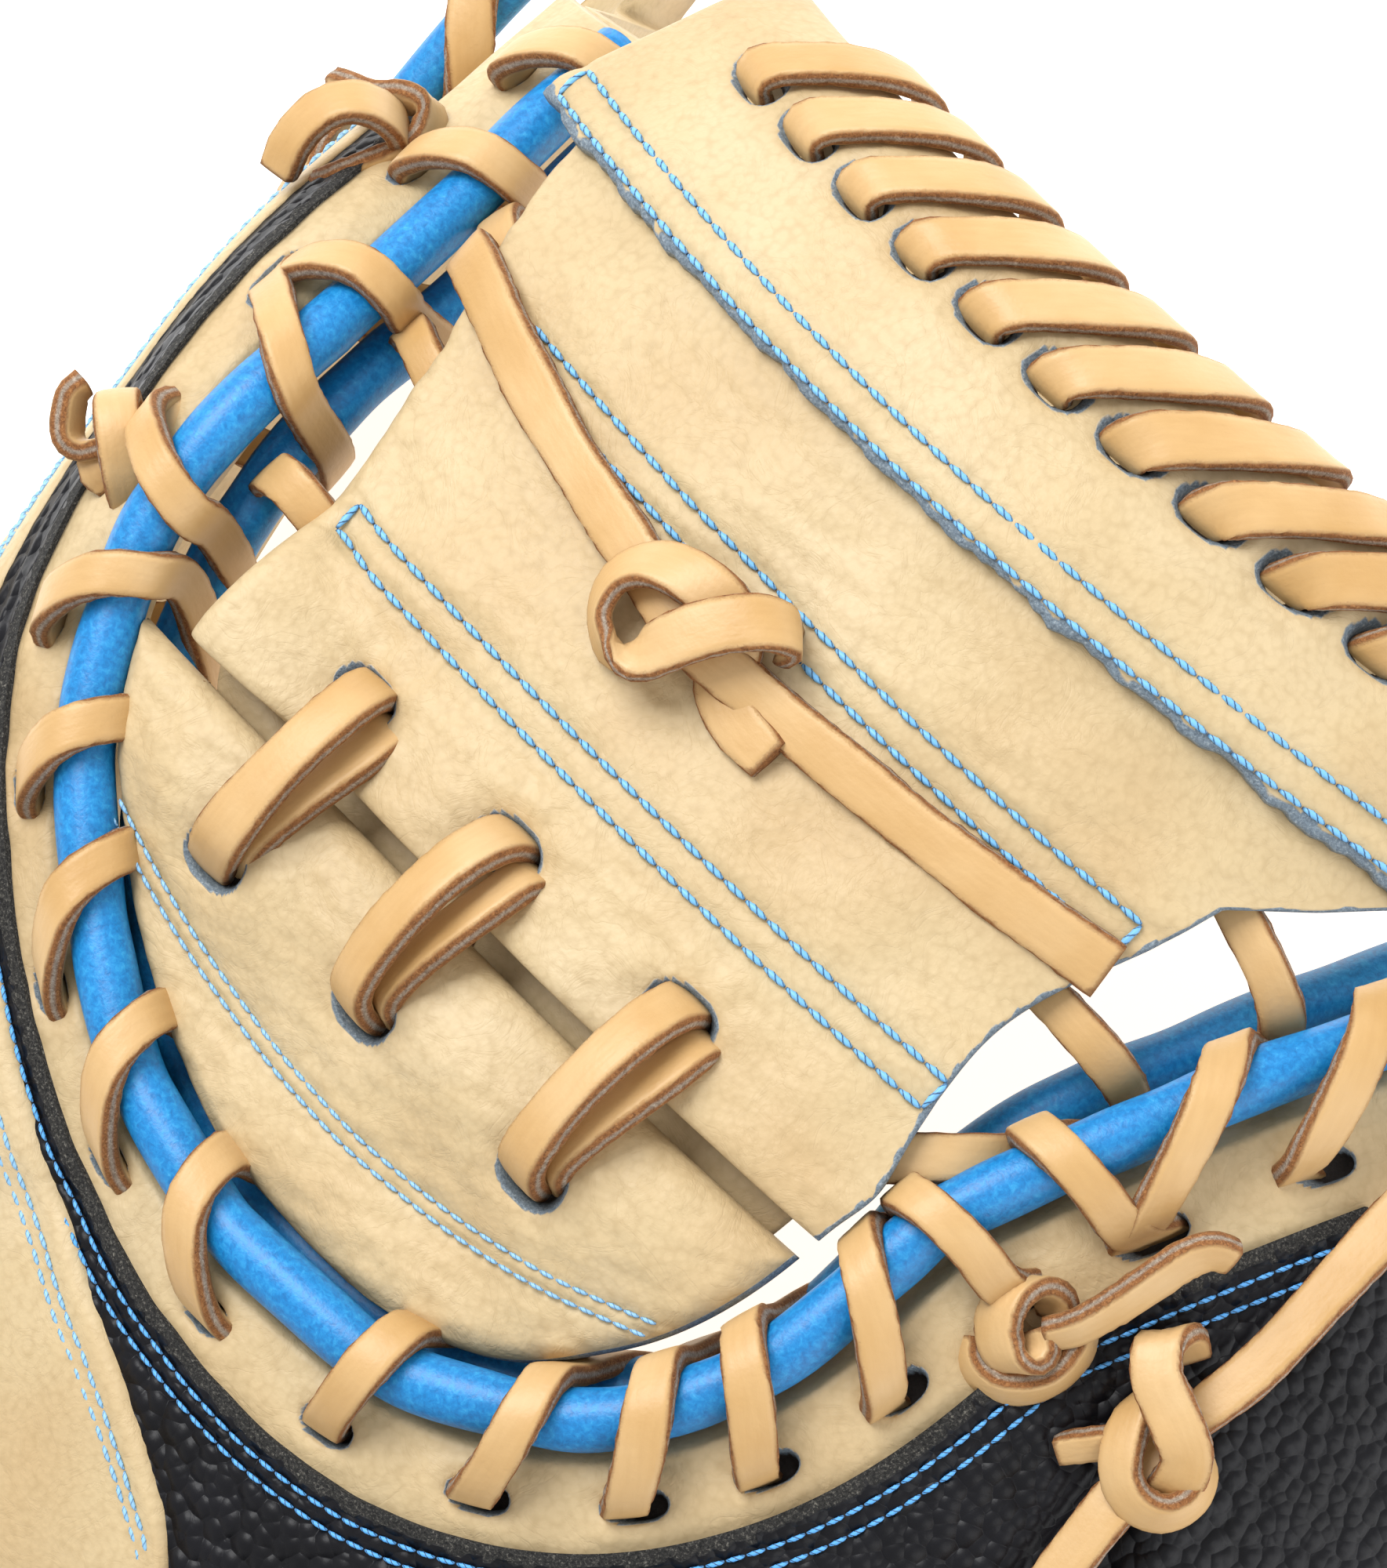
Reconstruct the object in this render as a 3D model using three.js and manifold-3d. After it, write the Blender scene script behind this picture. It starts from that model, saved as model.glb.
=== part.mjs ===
// A catcher's mitt, lying palm down. Millimetres, +Z up out of the back, +Y from the crotch of the
// web towards its laced top rim, +X towards the thumb. The padded body is a horseshoe round the
// U-shaped notch that the web fills, and the wrist goes in between the heel pad and the strap.
import * as THREE from "three";
import { mergeVertices } from "three/addons/utils/BufferGeometryUtils.js";
import Module from "manifold-3d";

const wasm = await Module();
wasm.setup();

// The middle of the mitt's box, in the plan that the sizes below are measured in.
const PLAN_CENTRE_X = 15.38;
const PLAN_CENTRE_Y = -9.39;

// Outline of the mitt: a mean radius, longer along the hand than across it, with three soft
// corners at the thumb tip, the heel and the little finger, and a flat side along the fingers.
const OUTLINE = { mean: 141, shift: 7, stretch: 10, fingertips: 320, corners: 4, thumbTip: 40 };
const FLAT_SIDE = { direction: 267, distance: 97, sharpness: 14, share: 0.25 };
// Height of the back over the floor: a dome, boxier over the fingers, that runs on straight
// near the rim.
const DOME = { rim: 24, crown: 92, flatness: 2.4, fingerFlatness: 7, fullness: 0.8, straightFrom: 0.94 };
// The notch between fingers and thumb: a rounded bottom with sides that flare to the tips.
const NOTCH = { depth: 54.5, middleY: 46, flareBend: 1.07 };
const NOTCH_SIDES = {
  finger: { sign: -1, half: 64, round: 1.7, flare: 10, topY: 112 },
  thumb: { sign: 1, half: 57, round: 2.6, flare: 24, topY: 99 },
};
const FLARE_HEIGHT = 63;
const TIP_LEFT = -38;
const TIP_RIGHT = 40;

const GAP = 0.35;
const PAD_GAP = 0.9;
const BINDING = { radius: 3.5, rise: 1, palmInset: 2.2, palmDrop: 12 };
const COLLAR = { from: 4.3, to: 17, thick: 2.5, drop: 0.3 };
const PALM_START = 3.5;
const PALM_EDGE = 15;
const PALM_LIP = 13;
const LIP = 3;
const SEAM = 12;
const RIM_ROLL = 13;
const POCKET_REACH = 0.86;
const POCKET_FALL = 0.72;

const CAVITY = { height: 30, softness: 2.5, leastPadding: 13, leastShare: 0.13 };
// Share of the padding that lies under the hollow, near the notch and from a little way out.
const PALM_SHARE = { near: 0.33, far: 0.62, within: 14 };
// The hollow for the hand, as rounded runs between points in the plan.
const HAND_RUNS = [
  { fromX: 100, fromY: -125, toX: 30, toY: -60, radius: 44 },
  { fromX: 0, fromY: -74, toX: -62, toY: -52, radius: 30 },
  { fromX: -62, fromY: -52, toX: -84, toY: 15, radius: 24 },
  { fromX: 55, fromY: -70, toX: 90, toY: -35, radius: 24 },
  { fromX: 90, fromY: -35, toX: 100, toY: 22, radius: 24 },
];

const LACE = { width: 5.8, thick: 1.8 };
const SLOT = { width: 7.8, across: 4.3, height: 26 };

const BLOND = 0xe3c894;
const RAWHIDE = 0xe2b981;
const BLACK = 0x1d1d22;
const BLUE = 0x1583cf;

const leather = (color, roughness) => new THREE.MeshStandardMaterial({ color, roughness, metalness: 0 });
const BLOND_LEATHER = leather(BLOND, 0.6);
const RAWHIDE_LACE = leather(RAWHIDE, 0.7);
const BLACK_LEATHER = leather(BLACK, 0.5);
const BLUE_LEATHER = leather(BLUE, 0.45);

const UP = new THREE.Vector3(0, 0, 1);
const ACROSS = new THREE.Vector3(1, 0, 0);
const rad = THREE.MathUtils.degToRad;
const clamp01 = (t) => Math.min(1, Math.max(0, t));
const smooth = (t) => clamp01(t) ** 2 * (3 - 2 * clamp01(t));
const mix = (a, b, t) => a + (b - a) * t;

// Plan: outline, notch and the lines that join them

function fullRadius(direction) {
  const turn = rad(direction - OUTLINE.fingertips);
  const corner = OUTLINE.corners * Math.cos(3 * rad(direction - OUTLINE.thumbTip));
  return OUTLINE.mean + OUTLINE.shift * Math.cos(turn) + OUTLINE.stretch * Math.cos(2 * turn) + corner;
}

function outlineRadius(direction) {
  const full = fullRadius(direction);
  const facing = Math.max(0.05, Math.cos(rad(direction - FLAT_SIDE.direction)));
  const flat = (full * facing) / FLAT_SIDE.distance;
  return full / (1 + flat ** FLAT_SIDE.sharpness) ** (1 / FLAT_SIDE.sharpness);
}

// A point of the outline at s, from the index fingertip (0) round the wrist to the thumb tip (1).
function outlinePoint(s) {
  const direction = TIP_LEFT - s * (360 + TIP_LEFT - TIP_RIGHT);
  const radius = outlineRadius(direction);
  return new THREE.Vector2(radius * Math.sin(rad(direction)), radius * Math.cos(rad(direction)));
}

function domeAt(reach, flatness) {
  return DOME.rim + (DOME.crown - DOME.rim) * (1 - reach ** flatness) ** DOME.fullness;
}

function backHeight(x, y) {
  const direction = THREE.MathUtils.radToDeg(Math.atan2(x, y));
  const radius = outlineRadius(direction);
  const cutOff = 1 - radius / fullRadius(direction);
  const flatness = mix(DOME.flatness, DOME.fingerFlatness, smooth(cutOff / FLAT_SIDE.share));
  const reach = Math.hypot(x, y) / radius;
  const domed = Math.min(reach, DOME.straightFrom);
  const fall = (domeAt(DOME.straightFrom, flatness) - domeAt(DOME.straightFrom - 0.01, flatness)) / 0.01;
  return domeAt(domed, flatness) + fall * (reach - domed);
}

// Half width of the notch on one side, less a margin all round.
function notchHalf(y, side, inset = 0) {
  const { half, round, flare } = side;
  const up = (y - NOTCH.middleY) / FLARE_HEIGHT;
  if (up > 0) return half + flare * up ** NOTCH.flareBend - inset;
  const down = clamp01((NOTCH.middleY - y) / (NOTCH.depth - inset));
  return (half - inset) * (1 - down ** round) ** (1 / round);
}

function notchSide(side) {
  const points = [];
  for (let k = 5; k >= 1; k--) {
    const y = mix(NOTCH.middleY, side.topY, k / 5);
    points.push(new THREE.Vector3(side.sign * notchHalf(y, side), y, 0));
  }
  for (let angle = 90; angle > 0; angle -= 10) {
    const across = Math.sin(rad(angle)) ** (2 / side.round);
    const down = Math.cos(rad(angle)) ** (2 / side.round);
    points.push(new THREE.Vector3(side.sign * side.half * across, NOTCH.middleY - NOTCH.depth * down, 0));
  }
  return points;
}

function notchCurve() {
  const bottom = new THREE.Vector3(0, NOTCH.middleY - NOTCH.depth, 0);
  const points = [...notchSide(NOTCH_SIDES.finger), bottom, ...notchSide(NOTCH_SIDES.thumb).reverse()];
  return new THREE.CatmullRomCurve3(points, false, "centripetal");
}
const notch = notchCurve();
notch.arcLengthDivisions = 600;
const NOTCH_LENGTH = notch.getLength();

// Point, direction along the notch and direction away from the web, at s from 0 to 1.
function notchFrame(s) {
  const at = notch.getPointAt(clamp01(s));
  const along = notch.getTangentAt(clamp01(s));
  const away = new THREE.Vector3(along.y, -along.x, 0);
  const before = at.clone().addScaledVector(along, -1);
  const after = at.clone().addScaledVector(along, 1);
  const slope = (backHeight(after.x, after.y) - backHeight(before.x, before.y)) / 2;
  const falling = along.clone().setZ(slope).normalize();
  const normal = new THREE.Vector3().crossVectors(falling, away).normalize();
  return { at, along, away, falling, normal: normal.z < 0 ? normal.negate() : normal };
}

// The plan point at s along the horseshoe and r from the notch (0) to the outline (1). It runs
// straight out over the collar and then bends to meet the outline square on.
function bodyPoint(s, r) {
  const { at, away } = notchFrame(s);
  const rim = outlinePoint(s);
  const edge = at.clone().addScaledVector(away, COLLAR.to);
  const bend = Math.hypot(rim.x - edge.x, rim.y - edge.y);
  const length = COLLAR.to + bend;
  const distance = r * length;
  if (distance <= COLLAR.to) return { x: at.x + distance * away.x, y: at.y + distance * away.y, length };
  const t = (distance - COLLAR.to) / bend;
  const out = rim.clone().normalize();
  const h0 = 2 * t ** 3 - 3 * t ** 2 + 1;
  const h1 = (t ** 3 - 2 * t ** 2 + t) * bend;
  const h2 = 3 * t ** 2 - 2 * t ** 3;
  const h3 = (t ** 3 - t ** 2) * bend;
  return {
    x: h0 * edge.x + h1 * away.x + h2 * rim.x + h3 * out.x,
    y: h0 * edge.y + h1 * away.y + h2 * rim.y + h3 * out.y,
    length,
  };
}
const bodyLength = (s) => bodyPoint(s, 1).length;

// Heights of the padded body

function handHeight(x, y) {
  const heights = HAND_RUNS.map((run) => {
    const dx = run.toX - run.fromX;
    const dy = run.toY - run.fromY;
    const t = clamp01(((x - run.fromX) * dx + (y - run.fromY) * dy) / (dx * dx + dy * dy));
    const away = Math.hypot(x - run.fromX - t * dx, y - run.fromY - t * dy) / run.radius;
    return away < 1 ? CAVITY.height * (1 - away ** CAVITY.softness) ** 0.5 : 0;
  });
  return Math.max(...heights);
}

// The four surfaces of the body at (s, r): palm, floor and roof of the hand hollow, and back. The
// palm lands on a flat band just inside the rim, which the mitt rests on.
function layers(s, r) {
  const p = bodyPoint(s, r);
  const edge = notchFrame(s).at;
  const landing = Math.max(Math.min(POCKET_REACH * p.length, p.length - RIM_ROLL), PALM_LIP + 4);
  const sink = (r * p.length - PALM_LIP) / (landing - PALM_LIP);
  const pocket = (backHeight(edge.x, edge.y) - PALM_EDGE) * (1 - smooth(clamp01(sink) ** POCKET_FALL));
  const roll = clamp01(1 - ((1 - r) * p.length) / RIM_ROLL);
  const round = Math.sqrt(1 - roll ** 2);
  const back = SEAM + LIP + (backHeight(p.x, p.y) - SEAM - LIP) * round;
  const curl = Math.sqrt(1 - clamp01((roll - 0.5) / 0.5) ** 2);
  const palm = mix(SEAM - LIP, pocket, curl);
  const thick = back - palm;
  const hand = Math.min(handHeight(p.x, p.y), thick - CAVITY.leastPadding);
  const hollow = Math.max(PAD_GAP, CAVITY.leastShare * thick, hand);
  const share = mix(PALM_SHARE.near, PALM_SHARE.far, smooth((r * p.length - PALM_START) / PALM_SHARE.within));
  const middle = mix(share, 0.5, roll);
  const floor = palm + (thick - hollow) * middle;
  return { x: p.x, y: p.y, palm, floor, roof: floor + hollow, back };
}

// Solids

function geometryOf(positions, triangles) {
  const geometry = new THREE.BufferGeometry();
  geometry.setAttribute("position", new THREE.Float32BufferAttribute(positions, 3));
  geometry.setIndex(triangles);
  return geometry;
}

// A closed sheet: at(a, b) gives its upper and lower point, and its four edges are walled in.
function sheet(across, along, at) {
  const positions = [];
  const triangles = [];
  const rows = across + 1;
  const layer = rows * (along + 1);
  const corners = [];
  for (let j = 0; j <= along; j++)
    for (let i = 0; i <= across; i++) corners.push(at(i / across, j / along));
  for (const side of ["top", "bottom"])
    for (const corner of corners) positions.push(...corner[side].toArray());
  const quad = (a, b, c, d) => triangles.push(a, b, c, a, c, d);
  for (let j = 0; j < along; j++) {
    for (let i = 0; i < across; i++) {
      const a = j * rows + i;
      quad(a, a + 1, a + 1 + rows, a + rows);
      quad(a + layer, a + rows + layer, a + 1 + rows + layer, a + 1 + layer);
    }
    const left = j * rows;
    const right = j * rows + across;
    quad(left, left + rows, left + rows + layer, left + layer);
    quad(right, right + layer, right + rows + layer, right + rows);
  }
  for (let i = 0; i < across; i++) {
    const end = along * rows + i;
    quad(i, i + layer, i + 1 + layer, i + 1);
    quad(end, end + 1, end + 1 + layer, end + layer);
  }
  const made = geometryOf(positions, triangles);
  return solidOf(made).volume() < 0 ? geometryOf(positions, triangles.reverse()) : made;
}

function solidOf(geometry) {
  const bare = geometry.clone();
  bare.deleteAttribute("normal");
  bare.deleteAttribute("uv");
  const merged = mergeVertices(bare, 1e-4);
  return new wasm.Manifold(
    new wasm.Mesh({
      numProp: 3,
      vertProperties: merged.attributes.position.array,
      triVerts: new Uint32Array(merged.index.array),
    }),
  );
}

function geometryFrom(solid) {
  const mesh = solid.getMesh();
  return geometryOf(Array.from(mesh.vertProperties), Array.from(mesh.triVerts));
}

// The geometry with each tool cut out of it, and the largest piece that is left.
function cut(geometry, tools) {
  let solid = solidOf(geometry);
  for (const tool of tools) solid = solid.subtract(solidOf(tool));
  const pieces = solid.decompose().sort((a, b) => b.volume() - a.volume());
  return geometryFrom(pieces[0]);
}

function join(geometries) {
  let solid = solidOf(geometries[0]);
  for (const other of geometries.slice(1)) solid = solid.add(solidOf(other));
  return geometryFrom(solid);
}

// A flat strip along points, its width lying as near as it can to each point's side direction.
function strip(points, sides, { width, thick }, closed = false) {
  const positions = [];
  const triangles = [];
  const count = points.length;
  points.forEach((point, i) => {
    const before = closed ? points[(i + count - 1) % count] : points[Math.max(0, i - 1)];
    const after = closed ? points[(i + 1) % count] : points[Math.min(count - 1, i + 1)];
    const forward = after.clone().sub(before).normalize();
    const side = sides[i].clone().addScaledVector(forward, -sides[i].dot(forward)).normalize();
    const face = new THREE.Vector3().crossVectors(forward, side);
    for (const [w, t] of [[-1, -1], [1, -1], [1, 1], [-1, 1]]) {
      const corner = point.clone().addScaledVector(side, (w * width) / 2);
      corner.addScaledVector(face, (t * thick) / 2);
      positions.push(...corner.toArray());
    }
  });
  const spans = closed ? count : count - 1;
  for (let i = 0; i < spans; i++) {
    const a = 4 * i;
    const b = 4 * ((i + 1) % count);
    for (let k = 0; k < 4; k++) {
      const n = (k + 1) % 4;
      triangles.push(a + k, a + n, b + n, a + k, b + n, b + k);
    }
  }
  if (!closed) {
    const z = 4 * (count - 1);
    triangles.push(0, 3, 2, 0, 2, 1, z, z + 1, z + 2, z, z + 2, z + 3);
  }
  const made = geometryOf(positions, triangles);
  return solidOf(made).volume() < 0 ? geometryOf(positions, triangles.reverse()) : made;
}

// A slot for the lace: a block at a point, its long side along one direction and its depth another
function slot(point, along, up, { width, across, height }) {
  const box = new THREE.BoxGeometry(width, across, height);
  const side = along.clone().addScaledVector(up, -along.dot(up)).normalize();
  const turn = new THREE.Matrix4().makeBasis(side, new THREE.Vector3().crossVectors(up, side), up);
  box.applyMatrix4(turn.setPosition(point));
  return box;
}

function tube(points, radius, sides, steps) {
  const section = new THREE.Shape();
  for (let k = 0; k < sides; k++) {
    const angle = (2 * Math.PI * k) / sides;
    const to = [radius * Math.cos(angle), radius * Math.sin(angle)];
    if (k === 0) section.moveTo(...to);
    else section.lineTo(...to);
  }
  const path = new THREE.CatmullRomCurve3(points, false, "centripetal");
  return new THREE.ExtrudeGeometry(section, { extrudePath: path, steps, curveSegments: 1 });
}

const mitt = new THREE.Group();
mitt.position.set(-PLAN_CENTRE_X, -PLAN_CENTRE_Y, 0);

function piece(name, geometry, material) {
  const mesh = new THREE.Mesh(geometry, material);
  mesh.name = name;
  mitt.add(mesh);
}

// Lace through the collar, over both bindings and back through the palm, all round the notch.
// Each hole sits at a distance along the notch, and the strip leans by its lead on the way in.
const NOTCH_HOLES = { count: 16, first: 9, pitch: 18 };
const WHIP_LEAD = { left: -9, right: 6 };
// One turn, as distance from the notch away from the web and height over the back there.
const WHIP_TURN = [
  { out: 9.8, up: -7, share: 0 },
  { out: 9.8, up: 1.2, share: 0 },
  { out: 5.2, up: 6, share: 0.25 },
  { out: 0, up: 7.4, share: 0.5 },
  { out: -5.3, up: 4.4, share: 0.75 },
  { out: -6, up: -4, share: 0.95 },
  { out: -8.8, up: -12, share: 1 },
  { out: -4, up: -20, share: 1 },
  { out: 9.8, up: -20.6, share: 1 },
];

function whipPath() {
  const points = [];
  const sides = [];
  for (let k = 0; k < NOTCH_HOLES.count; k++) {
    const hole = NOTCH_HOLES.first + k * NOTCH_HOLES.pitch;
    const lead = mix(WHIP_LEAD.left, WHIP_LEAD.right, k / (NOTCH_HOLES.count - 1));
    WHIP_TURN.forEach((knot, i) => {
      const back = clamp01((i - 5) / (WHIP_TURN.length - 6));
      const along = mix(hole + lead * knot.share, hole + NOTCH_HOLES.pitch, back);
      const frame = notchFrame(along / NOTCH_LENGTH);
      const point = frame.at.clone().addScaledVector(frame.away, knot.out);
      point.z = backHeight(frame.at.x, frame.at.y);
      points.push(point.addScaledVector(knot.up > 0 ? frame.normal : UP, knot.up));
      sides.push(frame.falling);
    });
  }
  return { points, sides };
}
const whip = whipPath();
const whipSlots = Array.from({ length: NOTCH_HOLES.count + 1 }, (_, k) => {
  const { at, along, away } = notchFrame((NOTCH_HOLES.first + k * NOTCH_HOLES.pitch) / NOTCH_LENGTH);
  const point = at.clone().addScaledVector(away, 9.8).setZ(backHeight(at.x, at.y) - 8);
  return slot(point, along, UP, SLOT);
});

// Palm and back of the body

const ROWS = 32;
// Columns over the rolled rim, as shares of the roll.
const RIM_COLUMNS = [0, 0.5, 0.87, 1];
const SHELL = { first: 2, last: 30, strip: 20, widen: 14, reach: 0.45 };
// Where the shell's edge starts to leave the collar, runs over the hand opening and joins the rim.
const SHELL_TURNS = [
  { from: 0.5, over: 0.09 },
  { from: 0.55, over: 0.06 },
  { from: 0.7, over: 0.045 },
];
const PANEL_LAST_ROW = 18;

// The black shell's outer edge, as a share of the way to the outline. It is a strip beside the
// blond finger panel, stops short over the hand opening, and runs to the rim on the thumb side.
function shellEnd(s) {
  const [wider, opening, rim] = SHELL_TURNS.map((turn) => smooth((s - turn.from) / turn.over));
  const beside = (SHELL.strip + SHELL.widen * wider) / bodyLength(s);
  return mix(mix(beside, SHELL.reach, opening), 1, rim);
}

// A padded layer of the body over rows of the horseshoe, between two of its four surfaces.
function padded(firstRow, lastRow, from, to, steps, upper, lower) {
  const columns = steps + RIM_COLUMNS.length - 1;
  return sheet(columns, lastRow - firstRow, (a, b) => {
    const s = mix(firstRow, lastRow, b) / ROWS;
    const column = Math.round(a * columns);
    const start = from(s);
    const end = to(s);
    const roll = Math.min(RIM_ROLL / bodyLength(s), (end - start) * 0.6);
    const flat = mix(start, end - roll, Math.min(1, column / steps));
    const r = column <= steps ? flat : end - roll * (1 - RIM_COLUMNS[column - steps]);
    const level = layers(s, r);
    return {
      top: new THREE.Vector3(level.x, level.y, level[upper]),
      bottom: new THREE.Vector3(level.x, level.y, level[lower]),
    };
  });
}
const collarEnd = (s) => (COLLAR.to + GAP) / bodyLength(s);
const palmStart = (s) => PALM_START / bodyLength(s);
const panelStart = (s) => shellEnd(s) + GAP / bodyLength(s);
const toRim = () => 1;

const palm = padded(0, ROWS, palmStart, toRim, 4, "floor", "palm");
const shell = padded(SHELL.first, SHELL.last, collarEnd, shellEnd, 3, "back", "roof");
const fingerPanel = padded(SHELL.first, PANEL_LAST_ROW, panelStart, toRim, 3, "back", "roof");
piece("palm", cut(palm, whipSlots), BLOND_LEATHER);
piece("black_shell", shell, BLACK_LEATHER);
piece("finger_panel", fingerPanel, BLOND_LEATHER);

// The collar that the lace is threaded through, round the notch
const collar = sheet(1, ROWS, (a, b) => {
  const { at, away } = notchFrame(b);
  const point = at.clone().addScaledVector(away, mix(COLLAR.from, COLLAR.to, a));
  const top = backHeight(point.x, point.y) - COLLAR.drop;
  return {
    top: new THREE.Vector3(point.x, point.y, top),
    bottom: new THREE.Vector3(point.x, point.y, top - COLLAR.thick),
  };
});
piece("web_collar", cut(collar, whipSlots), BLOND_LEATHER);

// Two rolled bindings along the notch, one on the back leather and one on the palm leather
function bindingPoints(inset, rise) {
  const points = [];
  for (let k = 0; k <= ROWS; k++) {
    const { at, away } = notchFrame(mix(0.006, 0.994, k / ROWS));
    const z = backHeight(at.x, at.y) + rise;
    points.push(at.clone().addScaledVector(away, -inset).setZ(z));
  }
  return points;
}
piece("notch_binding_back", tube(bindingPoints(0, BINDING.rise), BINDING.radius, 8, 34), BLUE_LEATHER);
piece(
  "notch_binding_palm",
  tube(bindingPoints(BINDING.palmInset, -BINDING.palmDrop), BINDING.radius, 6, 30),
  BLUE_LEATHER,
);
piece("notch_lace", strip(whip.points, whip.sides, LACE), RAWHIDE_LACE);

// The rolled binding round the rim and the lace that is whipped over it
const RIM = { radius: 3.2, out: 8.1, turns: 23, from: 0.012, to: 0.988, slack: 0.95 };

function rimPoint(s, out, z) {
  const rim = outlinePoint(s);
  const run = outlinePoint(s + 0.001).sub(outlinePoint(s - 0.001)).normalize();
  return new THREE.Vector3(rim.x + out * run.y, rim.y - out * run.x, z);
}
const rimLine = Array.from({ length: 61 }, (_, k) => rimPoint(mix(RIM.from, RIM.to, k / 60), RIM.out, SEAM));
piece("rim_binding", tube(rimLine, RIM.radius, 6, 46), BLUE_LEATHER);

function rimLace() {
  const points = [];
  const sides = [];
  const steps = 5;
  const reach = RIM.radius + GAP + LACE.thick / 2 + RIM.slack;
  for (let k = 0; k <= RIM.turns * steps; k++) {
    const s = mix(RIM.from + 0.01, RIM.to - 0.01, k / (RIM.turns * steps));
    const turn = (2 * Math.PI * (k + 0.5)) / steps;
    const spread = reach / Math.cos(Math.PI / steps);
    points.push(rimPoint(s, RIM.out + spread * Math.cos(turn), SEAM + spread * Math.sin(turn)));
    const ahead = rimPoint(s + 0.002, RIM.out, SEAM);
    sides.push(ahead.sub(rimPoint(s, RIM.out, SEAM)).normalize());
  }
  return strip(points, sides, LACE);
}
piece("rim_lace", rimLace(), RAWHIDE_LACE);

// The web. Its levels are measured from the arched surface that joins the two sides of the notch.
const ARCH = { height: 16, fromY: 66, overY: 62, half: 80 };

function webHeight(x, y) {
  const up = smooth((y - ARCH.fromY) / ARCH.overY);
  return backHeight(x, y) + ARCH.height * up * Math.max(0, 1 - (x / ARCH.half) ** 2);
}

function webNormal(x, y) {
  const slopeX = (webHeight(x + 1, y) - webHeight(x - 1, y)) / 2;
  const slopeY = (webHeight(x, y + 1) - webHeight(x, y - 1)) / 2;
  return new THREE.Vector3(-slopeX, -slopeY, 1).normalize();
}

// A point of the web at a level square to its surface.
function webPoint(x, y, level) {
  return new THREE.Vector3(x, y, webHeight(x, y)).addScaledVector(webNormal(x, y), level);
}

// Half widths of the main panel at a few places up the web.
const MAIN_SIDES = [
  { y: 36, left: 50, right: 49.4 },
  { y: 56, left: 50.5, right: 49.5 },
  { y: 76, left: 54.5, right: 51 },
  { y: 90, left: 60, right: 53.5 },
  { y: 96, left: 61.5, right: 60 },
  { y: 101.5, left: 62, right: 65 },
  { y: 124, left: 60, right: 60 },
];

function sideAt(y, side) {
  const k = Math.max(1, MAIN_SIDES.findIndex((row) => row.y >= y));
  const low = MAIN_SIDES[k - 1];
  const high = MAIN_SIDES[k];
  return mix(low[side], high[side], clamp01((y - low.y) / (high.y - low.y)));
}

const LAP_ROWS = [101.5, 113, 124];
const MAIN_ROWS = [36.4, 39, 50, 63, 76, 89, 96, ...LAP_ROWS];
const FRONT_ROWS = [3, 7, 18, 36, 54, 73, 89, ...LAP_ROWS];
const CROTCH_ROWS = [1.4, 4, 9, 17, 26, 31, 33.4];
const rowAt = (rows, b) => rows[Math.round(b * (rows.length - 1))];

const mainPanel = sheet(9, MAIN_ROWS.length - 1, (a, b) => {
  const y = rowAt(MAIN_ROWS, b);
  const x = mix(-sideAt(y, "left"), sideAt(y, "right"), a);
  const thin = smooth((y - 80) / 20);
  const edge = a === 0 || a === 1 || b === 0 ? 1.3 * (1 - thin) : 0;
  return { top: webPoint(x, y, mix(4, 3.1, thin) - edge), bottom: webPoint(x, y, mix(-1, 0.2, thin) + edge) };
});

// The panel on the palm side, behind the main one
const frontPanel = sheet(7, FRONT_ROWS.length - 1, (a, b) => {
  const y = rowAt(FRONT_ROWS, b);
  const left = Math.min(notchHalf(y, NOTCH_SIDES.finger, 13.4), 60);
  const right = Math.min(notchHalf(y, NOTCH_SIDES.thumb, 11), 56);
  const top = mix(-8.4, -0.5, smooth((y - 76) / 24));
  const x = mix(-left, right, a);
  return { top: webPoint(x, y, top), bottom: webPoint(x, y, top - 2) };
});

// The padded piece in the crotch of the notch, below the main panel
const crotchPiece = sheet(12, CROTCH_ROWS.length - 1, (a, b) => {
  const y = rowAt(CROTCH_ROWS, b);
  const x = mix(-notchHalf(y, NOTCH_SIDES.finger, 8.8), notchHalf(y, NOTCH_SIDES.thumb, 8.8), a);
  const edge = b === 0 || b === 1 || a === 0 || a === 1 ? 1.2 : 0;
  const top = mix(-3.6, 2.2, smooth((y - 2) / 26));
  return { top: webPoint(x, y, top - edge), bottom: webPoint(x, y, top - 4.4 + edge) };
});

// The strip folded over the top rim: one path from its raw edge on the back round to the palm side
const FOLD_PATH = [
  { y: 101.5, level: 6.4, thick: 2.6 },
  { y: 113, level: 6.4, thick: 2.6 },
  { y: 124, level: 6.4, thick: 2.6 },
  { y: 127.8, level: 4.6, thick: 2.6 },
  { y: 128.8, level: 0.4, thick: 2.6 },
  { y: 127.6, level: -4.2, thick: 2.6 },
  { y: 122.8, level: -6.3, thick: 2.4 },
];

const FOLD_ENDS = { left: -70, topLeft: -60, right: 67, topRight: 61, overY: 27 };

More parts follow.
